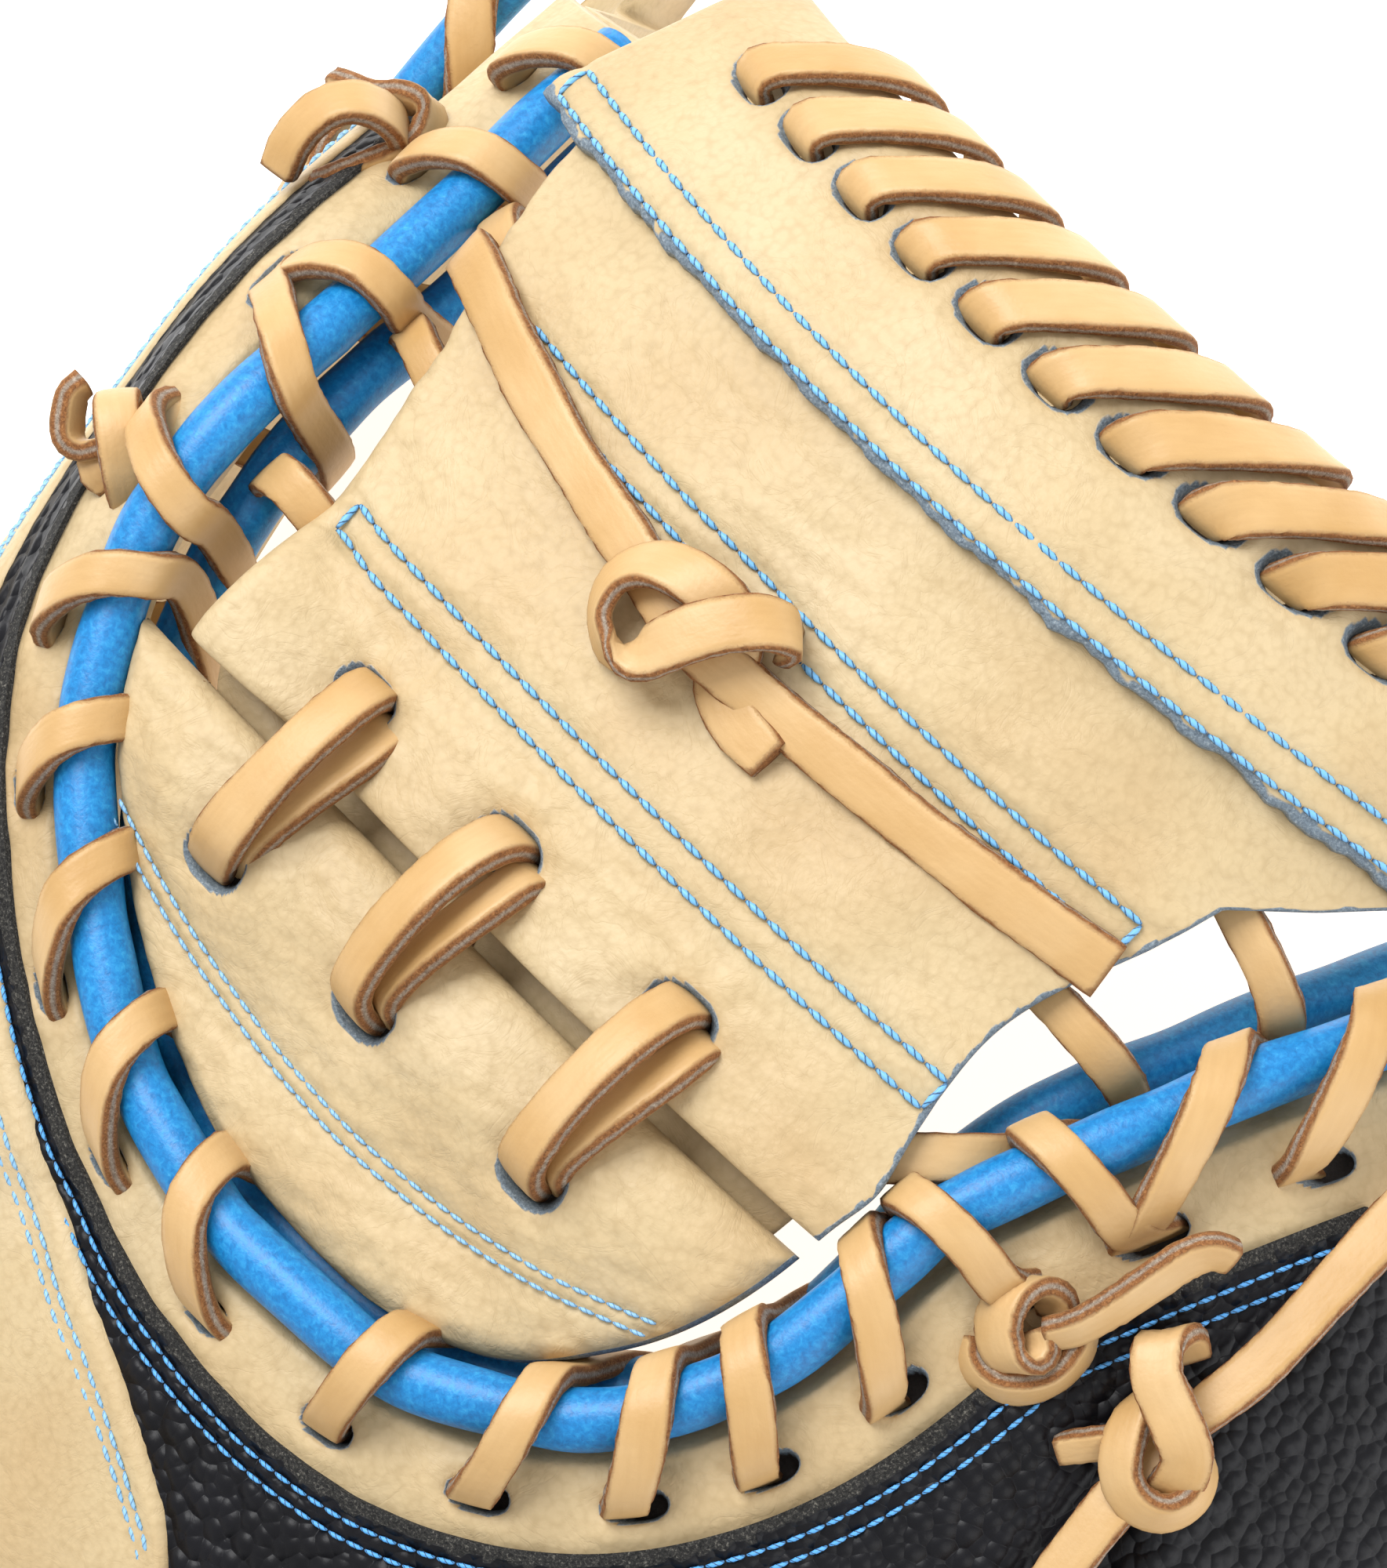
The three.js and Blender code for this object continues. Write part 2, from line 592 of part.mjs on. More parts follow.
const foldStrip = sheet(12, FOLD_PATH.length - 1, (a, b) => {
  const k = Math.round(b * (FOLD_PATH.length - 1));
  const here = FOLD_PATH[k];
  const before = FOLD_PATH[Math.max(0, k - 1)];
  const after = FOLD_PATH[Math.min(FOLD_PATH.length - 1, k + 1)];
  const run = new THREE.Vector2(after.y - before.y, after.level - before.level).normalize();
  const narrow = clamp01((here.y - FOLD_PATH[0].y) / FOLD_ENDS.overY);
  const left = mix(FOLD_ENDS.left, FOLD_ENDS.topLeft, narrow);
  const right = mix(FOLD_ENDS.right, FOLD_ENDS.topRight, narrow);
  const x = mix(left, right, a);
  const inY = here.y + run.y * here.thick;
  const inLevel = here.level - run.x * here.thick;
  return { top: webPoint(x, here.y, here.level), bottom: webPoint(x, inY, inLevel) };
});

// The lace spiralled over the top rim, through both faces of the folded strip
const SPIRAL = { turns: 10, first: -49.5, pitch: 10.4, lead: 11 };
const SPIRAL_TURN = [
  { y: 119, level: -6, share: 0 },
  { y: 119, level: 7.8, share: 0 },
  { y: 124.6, level: 9, share: 0.35 },
  { y: 130.8, level: 7.6, share: 0.75 },
  { y: 132.6, level: 0, share: 1 },
  { y: 129.8, level: -8, share: 1 },
  { y: 119, level: -8.6, share: 1 },
];

const SPIRAL_Y = SPIRAL_TURN[0].y;
const spiralHole = (k) => SPIRAL.first + k * SPIRAL.pitch;

function spiralPath() {
  const points = [];
  const sides = [];
  for (let k = 0; k < SPIRAL.turns; k++) {
    const hole = spiralHole(k);
    SPIRAL_TURN.forEach((knot, i) => {
      const back = clamp01((i - 4) / (SPIRAL_TURN.length - 5));
      const x = mix(hole + SPIRAL.lead * knot.share, hole + SPIRAL.pitch, back);
      points.push(webPoint(x, knot.y, knot.level));
      sides.push(new THREE.Vector3(1, 0, (webHeight(x + 1, knot.y) - webHeight(x - 1, knot.y)) / 2));
    });
  }
  return { points, sides };
}
const spiral = spiralPath();
const spiralSlots = Array.from({ length: SPIRAL.turns + 1 }, (_, k) => {
  const x = spiralHole(k);
  return slot(webPoint(x, SPIRAL_Y, 0), ACROSS, webNormal(x, SPIRAL_Y), { ...SLOT, across: 5 });
});
piece("web_rim_lace", strip(spiral.points, spiral.sides, LACE), RAWHIDE_LACE);

// Three loops of lace that join the main panel to the crotch piece
const JOINING = [{ x: -29.8 }, { x: -4.8 }, { x: 22.4 }];
// One loop, from the main panel's hole over the gap, down the crotch piece's hole and back under.
const JOINING_TURN = [
  { y: 44.2, level: -3 },
  { y: 44.2, level: 6 },
  { y: 41, level: 9.4 },
  { y: 34, level: 11 },
  { y: 24.6, level: 8.4 },
  { y: 20.6, level: 4 },
  { y: 20.6, level: -4.4 },
  { y: 27, level: -5.4 },
  { y: 37, level: -4.6 },
];
const JOINING_SLOT = { width: 7, across: 4.4, height: 10 };

JOINING.forEach(({ x }, i) => {
  const points = JOINING_TURN.map((knot) => webPoint(x, knot.y, knot.level));
  piece("joining_loop_" + (i + 1), strip(points, points.map(() => ACROSS), LACE, true), RAWHIDE_LACE);
});
const joiningSlots = (y) => JOINING.map(({ x }) => slot(webPoint(x, y, 0), ACROSS, UP, JOINING_SLOT));
const mainSlots = joiningSlots(JOINING_TURN[0].y);
const crotchSlots = joiningSlots(JOINING_TURN[5].y);

piece("web_main", cut(mainPanel, [...spiralSlots, ...mainSlots]), BLOND_LEATHER);
piece("web_front", cut(frontPanel, spiralSlots), BLOND_LEATHER);
piece("web_crotch", cut(crotchPiece, crotchSlots), BLOND_LEATHER);
piece("web_fold", cut(foldStrip, spiralSlots), BLOND_LEATHER);

// A knot: a fat roll of lace about an axis, with its tails running out of it, joined in one body
function knot(centre, axis, radius, tails) {
  const half = LACE.width / 2 + 0.8;
  const profile = [[0, -half], [0.85, -half], [1, 0], [0.85, half], [0, half]];
  const roll = new THREE.LatheGeometry(profile.map(([r, h]) => new THREE.Vector2(r * radius, h)), 8);
  const upright = new THREE.Vector3(0, 1, 0);
  roll.applyQuaternion(new THREE.Quaternion().setFromUnitVectors(upright, axis.clone().normalize()));
  roll.translate(centre.x, centre.y, centre.z);
  return join([roll, ...tails.map((tail) => strip(tail.points, tail.points.map(() => tail.side), LACE))]);
}

// The long lace across the web, knotted in the middle
const CROSS = [
  { x: -58, y: 85.2, level: 6.4 },
  { x: -46, y: 83, level: 6.4 },
  { x: -33.7, y: 80, level: 6.4 },
  { x: -18.3, y: 76.3, level: 6.6 },
  { x: -6, y: 72.5, level: 8 },
  { x: 8, y: 75.6, level: 7 },
  { x: 20, y: 76, level: 6.4 },
  { x: 31, y: 76.3, level: 6.4 },
  { x: 50.1, y: 76.8, level: 6.4 },
];
const crossPoints = CROSS.map((row) => webPoint(row.x, row.y, row.level));
const crossKnot = knot(webPoint(-6, 73, 9.6), new THREE.Vector3(0.3, 0.2, 1), 5, [
  { points: crossPoints, side: new THREE.Vector3(0, 1, 0) },
]);
piece("cross_lace", crossKnot, RAWHIDE_LACE);

// Knots where the laces end, each with its tails, standing just clear of the leather
const onBack = (x, y, up) => new THREE.Vector3(x, y, backHeight(x, y) + up);
const KNOTS = [
  {
    name: "thumb_knot",
    at: onBack(87.6, 45, 5.6),
    axis: new THREE.Vector3(0.9, 0.5, 0.2),
    tails: [
      [onBack(87.6, 45, 5.6), onBack(88, 55, 6), onBack(87, 68, 7), onBack(85.5, 81, 8), onBack(84, 94, 9)],
      [onBack(87.6, 45, 5.6), onBack(88, 36, 4), onBack(89, 26, 3), onBack(90, 16, 2.8), onBack(90, 6, 3)],
    ],
  },
  {
    name: "notch_knot",
    at: onBack(73.4, 44.6, 5),
    axis: new THREE.Vector3(0.2, 0, 1),
    tails: [[onBack(73.4, 44.6, 7), onBack(76, 51, 6.6), onBack(79, 58, 6.6), onBack(81, 64.5, 7)]],
  },
  {
    name: "finger_knot_high",
    at: onBack(-86.7, 87, 6),
    axis: new THREE.Vector3(0.3, 1, 0.3),
    tails: [[onBack(-86.7, 87, 6), onBack(-90, 80, 9), onBack(-91.5, 74, 13)]],
  },
  {
    name: "finger_knot_low",
    at: onBack(-79.6, 45.6, 3.6),
    axis: new THREE.Vector3(0.2, 1, 0.2),
    tails: [[onBack(-79.6, 45.6, 3.6), onBack(-82.5, 45.5, 9), onBack(-86, 43, 15)]],
  },
];
for (const row of KNOTS) {
  const tails = row.tails.map((points) => {
    const run = points.at(-1).clone().sub(points[0]);
    return { points, side: new THREE.Vector3(-run.y, run.x, 0).normalize() };
  });
  piece(row.name, knot(row.at, row.axis, 3.4, tails), RAWHIDE_LACE);
}

// The wrist strap, arched over the opening from the finger panel to the thumb side
const STRAP = { wrist: 140, distance: 104, half: 60, width: 30, thick: 4, arch: 22, lift: 0.5 };

function strapPoint(across, along, up) {
  const forward = new THREE.Vector2(Math.sin(rad(STRAP.wrist)), Math.cos(rad(STRAP.wrist)));
  const x = forward.x * along - forward.y * across;
  const y = forward.y * along + forward.x * across;
  const arch = STRAP.arch * (1 - (across / STRAP.half) ** 2);
  return new THREE.Vector3(x, y, backHeight(x, y) + arch + up);
}

const strap = sheet(2, 15, (a, b) => {
  const across = mix(-STRAP.half, STRAP.half, b);
  const along = STRAP.distance + mix(-0.5, 0.5, a) * STRAP.width;
  return {
    top: strapPoint(across, along, STRAP.lift + STRAP.thick),
    bottom: strapPoint(across, along, STRAP.lift),
  };
});
piece("wrist_strap", strap, BLACK_LEATHER);

const TAB = { from: -52, to: -12, width: 22, thick: 2.4 };

const strapTab = sheet(2, 5, (a, b) => {
  const across = mix(TAB.from, TAB.to, b);
  const along = STRAP.distance + mix(-0.5, 0.5, a) * TAB.width;
  const lift = STRAP.lift + STRAP.thick + GAP;
  return { top: strapPoint(across, along, lift + TAB.thick), bottom: strapPoint(across, along, lift) };
});
piece("strap_tab", strapTab, BLOND_LEATHER);

export default mitt;
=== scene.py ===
from functools import partial

import bpy
import numpy as np
from mathutils import Matrix


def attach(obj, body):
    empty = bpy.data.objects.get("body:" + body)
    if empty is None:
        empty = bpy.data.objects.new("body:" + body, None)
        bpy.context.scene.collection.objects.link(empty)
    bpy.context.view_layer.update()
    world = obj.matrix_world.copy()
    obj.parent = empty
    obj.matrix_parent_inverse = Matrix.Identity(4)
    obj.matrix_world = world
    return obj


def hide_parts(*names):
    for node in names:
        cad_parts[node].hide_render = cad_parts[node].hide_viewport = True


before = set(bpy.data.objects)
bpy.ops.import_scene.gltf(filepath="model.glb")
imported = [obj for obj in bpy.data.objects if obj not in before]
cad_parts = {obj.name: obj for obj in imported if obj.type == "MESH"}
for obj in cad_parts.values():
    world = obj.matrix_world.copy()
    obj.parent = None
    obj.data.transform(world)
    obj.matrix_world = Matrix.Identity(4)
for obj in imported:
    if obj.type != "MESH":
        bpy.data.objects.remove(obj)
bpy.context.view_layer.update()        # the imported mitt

MM = 0.001
PLAN_CENTRE = np.array([15.38, -9.39, 0.0])

OUTLINE = dict(mean=141, shift=7, stretch=10, fingertips=320, corners=4, thumb_tip=40)
FLAT_SIDE = dict(direction=267, distance=97, sharpness=14, share=0.25)
DOME = dict(rim=24, crown=92, flatness=2.4, finger_flatness=7, fullness=0.8, straight_from=0.94)
NOTCH = dict(depth=54.5, middle=46, flare_bend=1.07, flare_height=63)
FINGER_SIDE = dict(sign=-1, half=64, round=1.7, flare=10, top=112)
THUMB_SIDE = dict(sign=1, half=57, round=2.6, flare=24, top=99)
ARCH = dict(height=16, start=66, over=62, half=80)
TIP_LEFT = -38
TIP_RIGHT = 40
COLLAR_WIDTH = 17
SEAM = 12
LIP = 3
RIM_ROLL = 13
RIM_OUT = 8.1
RIM_RADIUS = 3.2
BINDING_RADIUS = 3.5
LACE_WIDTH = 6.3
LACE_THICK = 2.0
THREAD_RADIUS = 0.38
STITCH = 3.3
CAMERA_TURN = 20.1
CAMERA_TILT = 11.9
CAMERA_DISTANCE = 913
CAMERA_TARGET = (5.6, 63.7, 88)
CAMERA_ROLL = 0.7037
LENS_MM = 191.1


# Small sums on whole arrays

def clamp01(t):
    return np.clip(t, 0.0, 1.0)


def smooth(t):
    """Eased step: 3 t squared less 2 t cubed, between 0 and 1."""
    t = clamp01(t)
    return t * t * (3 - 2 * t)


def mix(a, b, t):
    return a + (b - a) * t


def unit(v):
    """Vectors of length one along the last axis."""
    return v / np.maximum(np.linalg.norm(v, axis=-1, keepdims=True), 1e-9)


def ripple(x, y, size, seed):
    """Soft uneven waves: the mean of 14 plane waves about size long, in seeded directions."""
    draw = np.random.default_rng(seed)
    total = np.zeros(np.broadcast(x, y).shape)
    for _ in range(14):
        angle, phase = draw.uniform(0, 2 * np.pi, 2)
        pace = 2 * np.pi / (size * draw.uniform(0.7, 1.5))
        total = total + np.sin(pace * (x * np.cos(angle) + y * np.sin(angle)) + phase)
    return total / 14 ** 0.5


def cells(points, size, seed):
    """Embossed scales: for each point, the second nearest less the nearest distance to points
    strewn one to a cube of the given size, so 0 on the valleys between the scales."""
    place = points / size
    base = np.floor(place).astype(np.int64)
    near = np.full(place.shape[:-1], 9.0)
    second = near.copy()
    for step in np.ndindex(3, 3, 3):
        cube = base + np.array(step) - 1
        mixed = cube[..., 0] * 73856093 ^ cube[..., 1] * 19349663 ^ cube[..., 2] * 83492791 ^ seed
        spread = np.stack([(mixed * prime >> 7) % 1021 for prime in (7919, 104729, 1299709)], -1) / 1021
        away = np.linalg.norm(cube + 0.5 + 0.62 * (spread - 0.5) - place, axis=-1)
        second = np.where(away < near, near, np.minimum(second, away))
        near = np.minimum(near, away)
    return second - near


# The mitt's form, by the same rules as its solids

def full_radius(direction):
    """Mean radius, longer along the hand than across, with three soft corners."""
    turn = np.radians(direction - OUTLINE["fingertips"])
    corner = OUTLINE["corners"] * np.cos(3 * np.radians(direction - OUTLINE["thumb_tip"]))
    return OUTLINE["mean"] + OUTLINE["shift"] * np.cos(turn) + OUTLINE["stretch"] * np.cos(2 * turn) + corner


def outline_radius(direction):
    """Radius of the outline, cut off smoothly by the flat side along the fingers."""
    full = full_radius(direction)
    facing = np.maximum(0.05, np.cos(np.radians(direction - FLAT_SIDE["direction"])))
    flat = full * facing / FLAT_SIDE["distance"]
    return full / (1 + flat ** FLAT_SIDE["sharpness"]) ** (1 / FLAT_SIDE["sharpness"])


def outline_point(s):
    direction = TIP_LEFT - s * (360 + TIP_LEFT - TIP_RIGHT)
    radius = outline_radius(direction)
    return np.stack([radius * np.sin(np.radians(direction)), radius * np.cos(np.radians(direction))], -1)


def dome_at(reach, flatness):
    return DOME["rim"] + (DOME["crown"] - DOME["rim"]) * (1 - reach ** flatness) ** DOME["fullness"]


def back_height(x, y):
    """Height of the back: a dome over the outline, boxier at the fingers, straight near the rim."""
    direction = np.degrees(np.arctan2(x, y))
    radius = outline_radius(direction)
    boxy = smooth((1 - radius / full_radius(direction)) / FLAT_SIDE["share"])
    flatness = mix(DOME["flatness"], DOME["finger_flatness"], boxy)
    reach = np.hypot(x, y) / radius
    last = DOME["straight_from"]
    fall = (dome_at(last, flatness) - dome_at(last - 0.01, flatness)) / 0.01
    domed = np.minimum(reach, last)
    return dome_at(domed, flatness) + fall * (reach - domed)


def notch_half(y, side, inset=0.0):
    """Half width of the notch at y on one side, less an inset all round."""
    up = np.maximum(0, (y - NOTCH["middle"]) / NOTCH["flare_height"])
    down = clamp01((NOTCH["middle"] - y) / (NOTCH["depth"] - inset))
    flared = side["half"] + side["flare"] * up ** NOTCH["flare_bend"] - inset
    rounded = (side["half"] - inset) * (1 - down ** side["round"]) ** (1 / side["round"])
    return np.where(y > NOTCH["middle"], flared, rounded)


def notch_line():
    """Fine points of the notch from the index fingertip round its bottom to the thumb tip, with
    their distance along it: straight flares joined by a quarter of a superellipse on each side."""
    parts = []
    for side in (FINGER_SIDE, THUMB_SIDE):
        y = np.linspace(side["top"], NOTCH["middle"], 400)[:-1]
        angle = np.linspace(np.pi / 2, 0, 400)
        power = 2 / side["round"]
        x = np.concatenate([notch_half(y, side), side["half"] * np.sin(angle) ** power])
        y = np.concatenate([y, NOTCH["middle"] - NOTCH["depth"] * np.abs(np.cos(angle)) ** power])
        parts.append(np.stack([side["sign"] * x, y], -1))
    points = np.concatenate([parts[0], parts[1][::-1][1:]])
    distance = np.concatenate([[0], np.cumsum(np.linalg.norm(np.diff(points, axis=0), axis=1))])
    even = np.linspace(0, distance[-1], 3001)
    points = np.stack([np.interp(even, distance, points[:, k]) for k in (0, 1)], -1)
    run = np.gradient(points, axis=0)
    calm = np.hanning(81) / np.hanning(81).sum()
    run = np.stack([np.convolve(np.pad(run[:, k], 40, mode="edge"), calm, "valid") for k in (0, 1)], -1)
    return points, unit(run), distance[-1]


NOTCH_POINTS, NOTCH_RUN, NOTCH_LENGTH = notch_line()


def notch_frame(s):
    """Point, direction along the notch and direction away from the web, in the plan."""
    place = clamp01(s) * (len(NOTCH_POINTS) - 1)
    index = np.arange(len(NOTCH_POINTS))
    at = np.stack([np.interp(place, index, NOTCH_POINTS[:, k]) for k in (0, 1)], -1)
    along = unit(np.stack([np.interp(place, index, NOTCH_RUN[:, k]) for k in (0, 1)], -1))
    return at, along, np.stack([along[..., 1], -along[..., 0]], -1)


def body_point(s, r):
    """Plan point at s along the horseshoe and r from notch (0) to outline (1): straight out over
    the collar, then a Hermite curve that meets the outline square on. Also the line's length."""
    at, _, away = notch_frame(s)
    rim = outline_point(s)
    edge = at + COLLAR_WIDTH * away
    bend = np.linalg.norm(rim - edge, axis=-1)
    length = COLLAR_WIDTH + bend
    distance = r * length
    t = clamp01((distance - COLLAR_WIDTH) / bend)[..., None]
    span = bend[..., None]
    curve = (
        (2 * t ** 3 - 3 * t ** 2 + 1) * edge
        + (t ** 3 - 2 * t ** 2 + t) * span * away
        + (3 * t ** 2 - 2 * t ** 3) * rim
        + (t ** 3 - t ** 2) * span * unit(rim)
    )
    straight = at + distance[..., None] * away
    return np.where((distance <= COLLAR_WIDTH)[..., None], straight, curve), length


def body_length(s):
    return body_point(s, np.ones_like(s))[1]


# The hollow for the hand, as rounded runs between points in the plan: from, to and radius.
HAND_RUNS = [
    (100, -125, 30, -60, 44),
    (0, -74, -62, -52, 30),
    (-62, -52, -84, 15, 24),
    (55, -70, 90, -35, 24),
    (90, -35, 100, 22, 24),
]
HAND_HEIGHT = 30
LEAST_PADDING = 13


def hand_height(x, y):
    """Height of the hand hollow: the highest of rounded runs, each falling off from its middle."""
    best = np.zeros_like(x)
    for from_x, from_y, to_x, to_y, radius in HAND_RUNS:
        run_x, run_y = to_x - from_x, to_y - from_y
        t = clamp01(((x - from_x) * run_x + (y - from_y) * run_y) / (run_x ** 2 + run_y ** 2))
        away = np.minimum(1, np.hypot(x - from_x - t * run_x, y - from_y - t * run_y) / radius)
        best = np.maximum(best, HAND_HEIGHT * np.sqrt(1 - away ** 2.5))
    return best


def layers(s, r):
    """Plan point and the four surfaces of the padded body there: palm, floor and roof of the hand
    hollow, and back. The palm lands on a flat band just inside the rim."""
    point, length = body_point(s, r)
    at = notch_frame(s)[0]
    high = back_height(point[..., 0], point[..., 1])
    landing = np.maximum(np.minimum(0.86 * length, length - RIM_ROLL), 17)
    sink = clamp01((r * length - 13) / (landing - 13))
    pocket = (back_height(at[..., 0], at[..., 1]) - 15) * (1 - smooth(sink ** 0.72))
    roll = clamp01(1 - (1 - r) * length / RIM_ROLL)
    back = SEAM + LIP + (high - SEAM - LIP) * np.sqrt(1 - roll ** 2)
    palm = mix(SEAM - LIP, pocket, np.sqrt(1 - clamp01((roll - 0.5) / 0.5) ** 2))
    thick = back - palm
    hand = np.minimum(hand_height(point[..., 0], point[..., 1]), thick - LEAST_PADDING)
    hollow = np.maximum(np.maximum(0.9, 0.13 * thick), hand)
    middle = mix(mix(0.33, 0.62, smooth((r * length - 3.5) / 14)), 0.5, roll)
    floor = palm + (thick - hollow) * middle
    return point, dict(palm=palm, floor=floor, roof=floor + hollow, back=back)


def web_height(x, y):
    """The web's middle surface: the back's dome, arched up more towards the top rim."""
    up = smooth((y - ARCH["start"]) / ARCH["over"])
    return back_height(x, y) + ARCH["height"] * up * np.maximum(0, 1 - (x / ARCH["half"]) ** 2)


def stood_on(surface, x, y, level):
    """Point at a level square to a height surface over (x, y), by its slopes over 2 mm."""
    x, y, level = np.broadcast_arrays(*(np.asarray(v, float) for v in (x, y, level)))
    slope_x = (surface(x + 1, y) - surface(x - 1, y)) / 2
    slope_y = (surface(x, y + 1) - surface(x, y - 1)) / 2
    normal = unit(np.stack([-slope_x, -slope_y, np.ones_like(x)], -1))
    return np.stack([x, y, surface(x, y)], -1) + level[..., None] * normal


def web_point(x, y, level):
    return stood_on(web_height, x, y, level)


def on_back(x, y, level):
    return stood_on(back_height, x, y, level)


def curve_through(rows, count):
    """count points, evenly spaced, on a centripetal Catmull-Rom curve through the rows."""
    rows = np.asarray(rows, float)
    ends = np.concatenate([[2 * rows[0] - rows[1]], rows, [2 * rows[-1] - rows[-2]]])
    gap = np.maximum(np.linalg.norm(np.diff(ends[:, :3], axis=0), axis=1), 1e-6) ** 0.5
    fine = np.linspace(0, 1, 24, endpoint=False)[:, None]
    pieces = []
    for k in range(1, len(ends) - 2):
        a, b, c, d = ends[k - 1:k + 3]
        before, span, after = gap[k - 1:k + 2]
        leave = (b - a) / before - (c - a) / (before + span) + (c - b) / span
        reach = (c - b) / span - (d - b) / (span + after) + (d - c) / after
        bend = span * leave, span * reach
        cube, square = fine ** 3, fine ** 2
        pieces.append(
            (2 * cube - 3 * square + 1) * b + (cube - 2 * square + fine) * bend[0]
            + (3 * square - 2 * cube) * c + (cube - square) * bend[1]
        )
    line = np.concatenate(pieces + [rows[-1:]])
    distance = np.concatenate([[0], np.cumsum(np.linalg.norm(np.diff(line[:, :3], axis=0), axis=1))])
    even = np.linspace(0, distance[-1], count)
    return np.stack([np.interp(even, distance, line[:, k]) for k in range(line.shape[1])], -1)


def length_of(points):
    return float(np.linalg.norm(np.diff(points[:, :3], axis=0), axis=1).sum())


# Meshes from grids of points

def linear(hex_colour):
    """sRGB hex to linear: each channel over 12.92 below 0.04045, else the 2.4 power curve."""
    channels = np.array([int(hex_colour[k:k + 2], 16) for k in (1, 3, 5)]) / 255
    curved = np.where(channels <= 0.04045, channels / 12.92, ((channels + 0.055) / 1.055) ** 2.4)
    return (*curved.tolist(), 1.0)


def quads_of(rows, columns, around_rows=False, around_columns=False):
    """Four corners of each cell of a grid of points, wrapped round where asked."""
    i = np.arange(rows if around_rows else rows - 1)[:, None]
    j = np.arange(columns if around_columns else columns - 1)[None, :]
    i2, j2 = (i + 1) % rows, (j + 1) % columns
    corners = (i * columns + j, i2 * columns + j, i2 * columns + j2, i * columns + j2)
    return np.stack(np.broadcast_arrays(*corners), -1).reshape(-1, 4)


def piece(name, points, quads, material, nodes=(), cut=None, uv=None, slot=None):
    """A named mesh in metres from plan points and quads, turned inside out if its volume is
    negative. cut is 0 on finished leather, 0.5 on raw edges and 1 inside holes, where the
    blond leather is painted with dark shade."""
    points = points.reshape(-1, 3)
    a, b, c, d = (points[quads[:, k]] for k in range(4))
    volume = np.einsum("ij,ij->", a, np.cross(b, c)) + np.einsum("ij,ij->", a, np.cross(c, d))
    if volume < 0:
        quads = quads[:, ::-1]
    mesh = bpy.data.meshes.new(name)
    mesh.vertices.add(len(points))
    mesh.vertices.foreach_set("co", ((points - PLAN_CENTRE) * MM).ravel())
    mesh.loops.add(quads.size)
    mesh.loops.foreach_set("vertex_index", quads.ravel())
    mesh.polygons.add(len(quads))
    mesh.polygons.foreach_set("loop_start", np.arange(len(quads)) * 4)
    mesh.polygons.foreach_set("use_smooth", np.ones(len(quads), bool))
    mesh.update(calc_edges=True)
    mesh.validate()
    layer = mesh.attributes.new("cut", "FLOAT", "POINT")
    layer.data.foreach_set("value", np.zeros(len(points)) if cut is None else np.asarray(cut, float).ravel())
    if uv is not None:
        flat = mesh.uv_layers.new(name="UVMap")
        flat.data.foreach_set("uv", uv.reshape(-1, 2)[quads.ravel()].ravel())
    mesh.materials.append(material)
    made = bpy.data.objects.new(name, mesh)
    bpy.context.scene.collection.objects.link(made)
    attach(made, "root")
    if nodes:
        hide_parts(*nodes)
    return made


def slab(name, top, bottom, material, cut=None, cut_below=None, **rest):
    """A closed sheet: a grid of upper points over a grid of lower ones, walled along its edges."""
    rows, columns = top.shape[:2]
    size = rows * columns
    upper = quads_of(rows, columns)
    number = np.arange(size).reshape(rows, columns)
    loop = np.concatenate([number[:-1, 0], number[-1, :-1], number[:0:-1, -1], number[0, :0:-1]])
    after = np.roll(loop, -1)
    wall = np.stack([loop, loop + size, after + size, after], -1)
    quads = np.concatenate([upper[:, ::-1], upper + size, wall[:, ::-1]])
    cut = np.zeros((rows, columns)) if cut is None else cut
    cut_below = cut if cut_below is None else cut_below
    return piece(name, np.concatenate([top.reshape(-1, 3), bottom.reshape(-1, 3)]), quads, material,
                 cut=np.concatenate([cut.ravel(), cut_below.ravel()]), **rest)


def frames_along(points, sides):
    """Forward, side and face directions at each point of a path, the side kept square to it."""
    forward = unit(np.gradient(points, axis=0))
    side = unit(sides - np.sum(sides * forward, -1, keepdims=True) * forward)
    return forward, side, np.cross(forward, side)


def tube_mesh(points, radius, sides=20):
    """A round tube: circles square to the path, drawn in to a point at each open end."""
    hint = np.tile([0.0, 0.0, 1.0], (len(points), 1))
    _, side, face = frames_along(points, hint)
    turn = 2 * np.pi * np.arange(sides) / sides
    radius = np.broadcast_to(radius, (len(points),))[:, None, None]
    ring = np.cos(turn)[None, :, None] * side[:, None] + np.sin(turn)[None, :, None] * face[:, None]
    rings = points[:, None] + radius * ring
    first = points[0] + 0 * rings[:1]
    last = points[-1] + 0 * rings[-1:]
    rings = np.concatenate([first, mix(first, rings[:1], 0.85), rings, mix(last, rings[-1:], 0.85), last])
    steps = np.linalg.norm(np.diff(points, axis=0, prepend=points[:1]), axis=1)
    along = np.concatenate([[0, 0], np.cumsum(steps), [0, 0]])
    uv = np.stack(np.broadcast_arrays(along[:, None] * MM, turn[None] / (2 * np.pi)), -1)
    return rings, quads_of(len(rings), sides, around_columns=True), uv


# Section of a lace: share of half its width and of half its thickness, and how far it is cut side.
LACE_SECTION = np.array([
    (-1.0, 0.0, 1.0), (-0.99, -0.6, 0.5), (-0.9, -0.98, 0.22), (-0.62, -1.05, 0.0), (0.0, -1.08, 0.0),
    (0.62, -1.05, 0.0), (0.9, -0.98, 0.22), (0.99, -0.6, 0.5), (1.0, 0.0, 1.0), (0.99, 0.6, 0.5),
    (0.9, 0.98, 0.22), (0.62, 1.1, 0.0), (0.0, 1.18, 0.0), (-0.62, 1.1, 0.0), (-0.9, 0.98, 0.22),
    (-0.99, 0.6, 0.5),
])


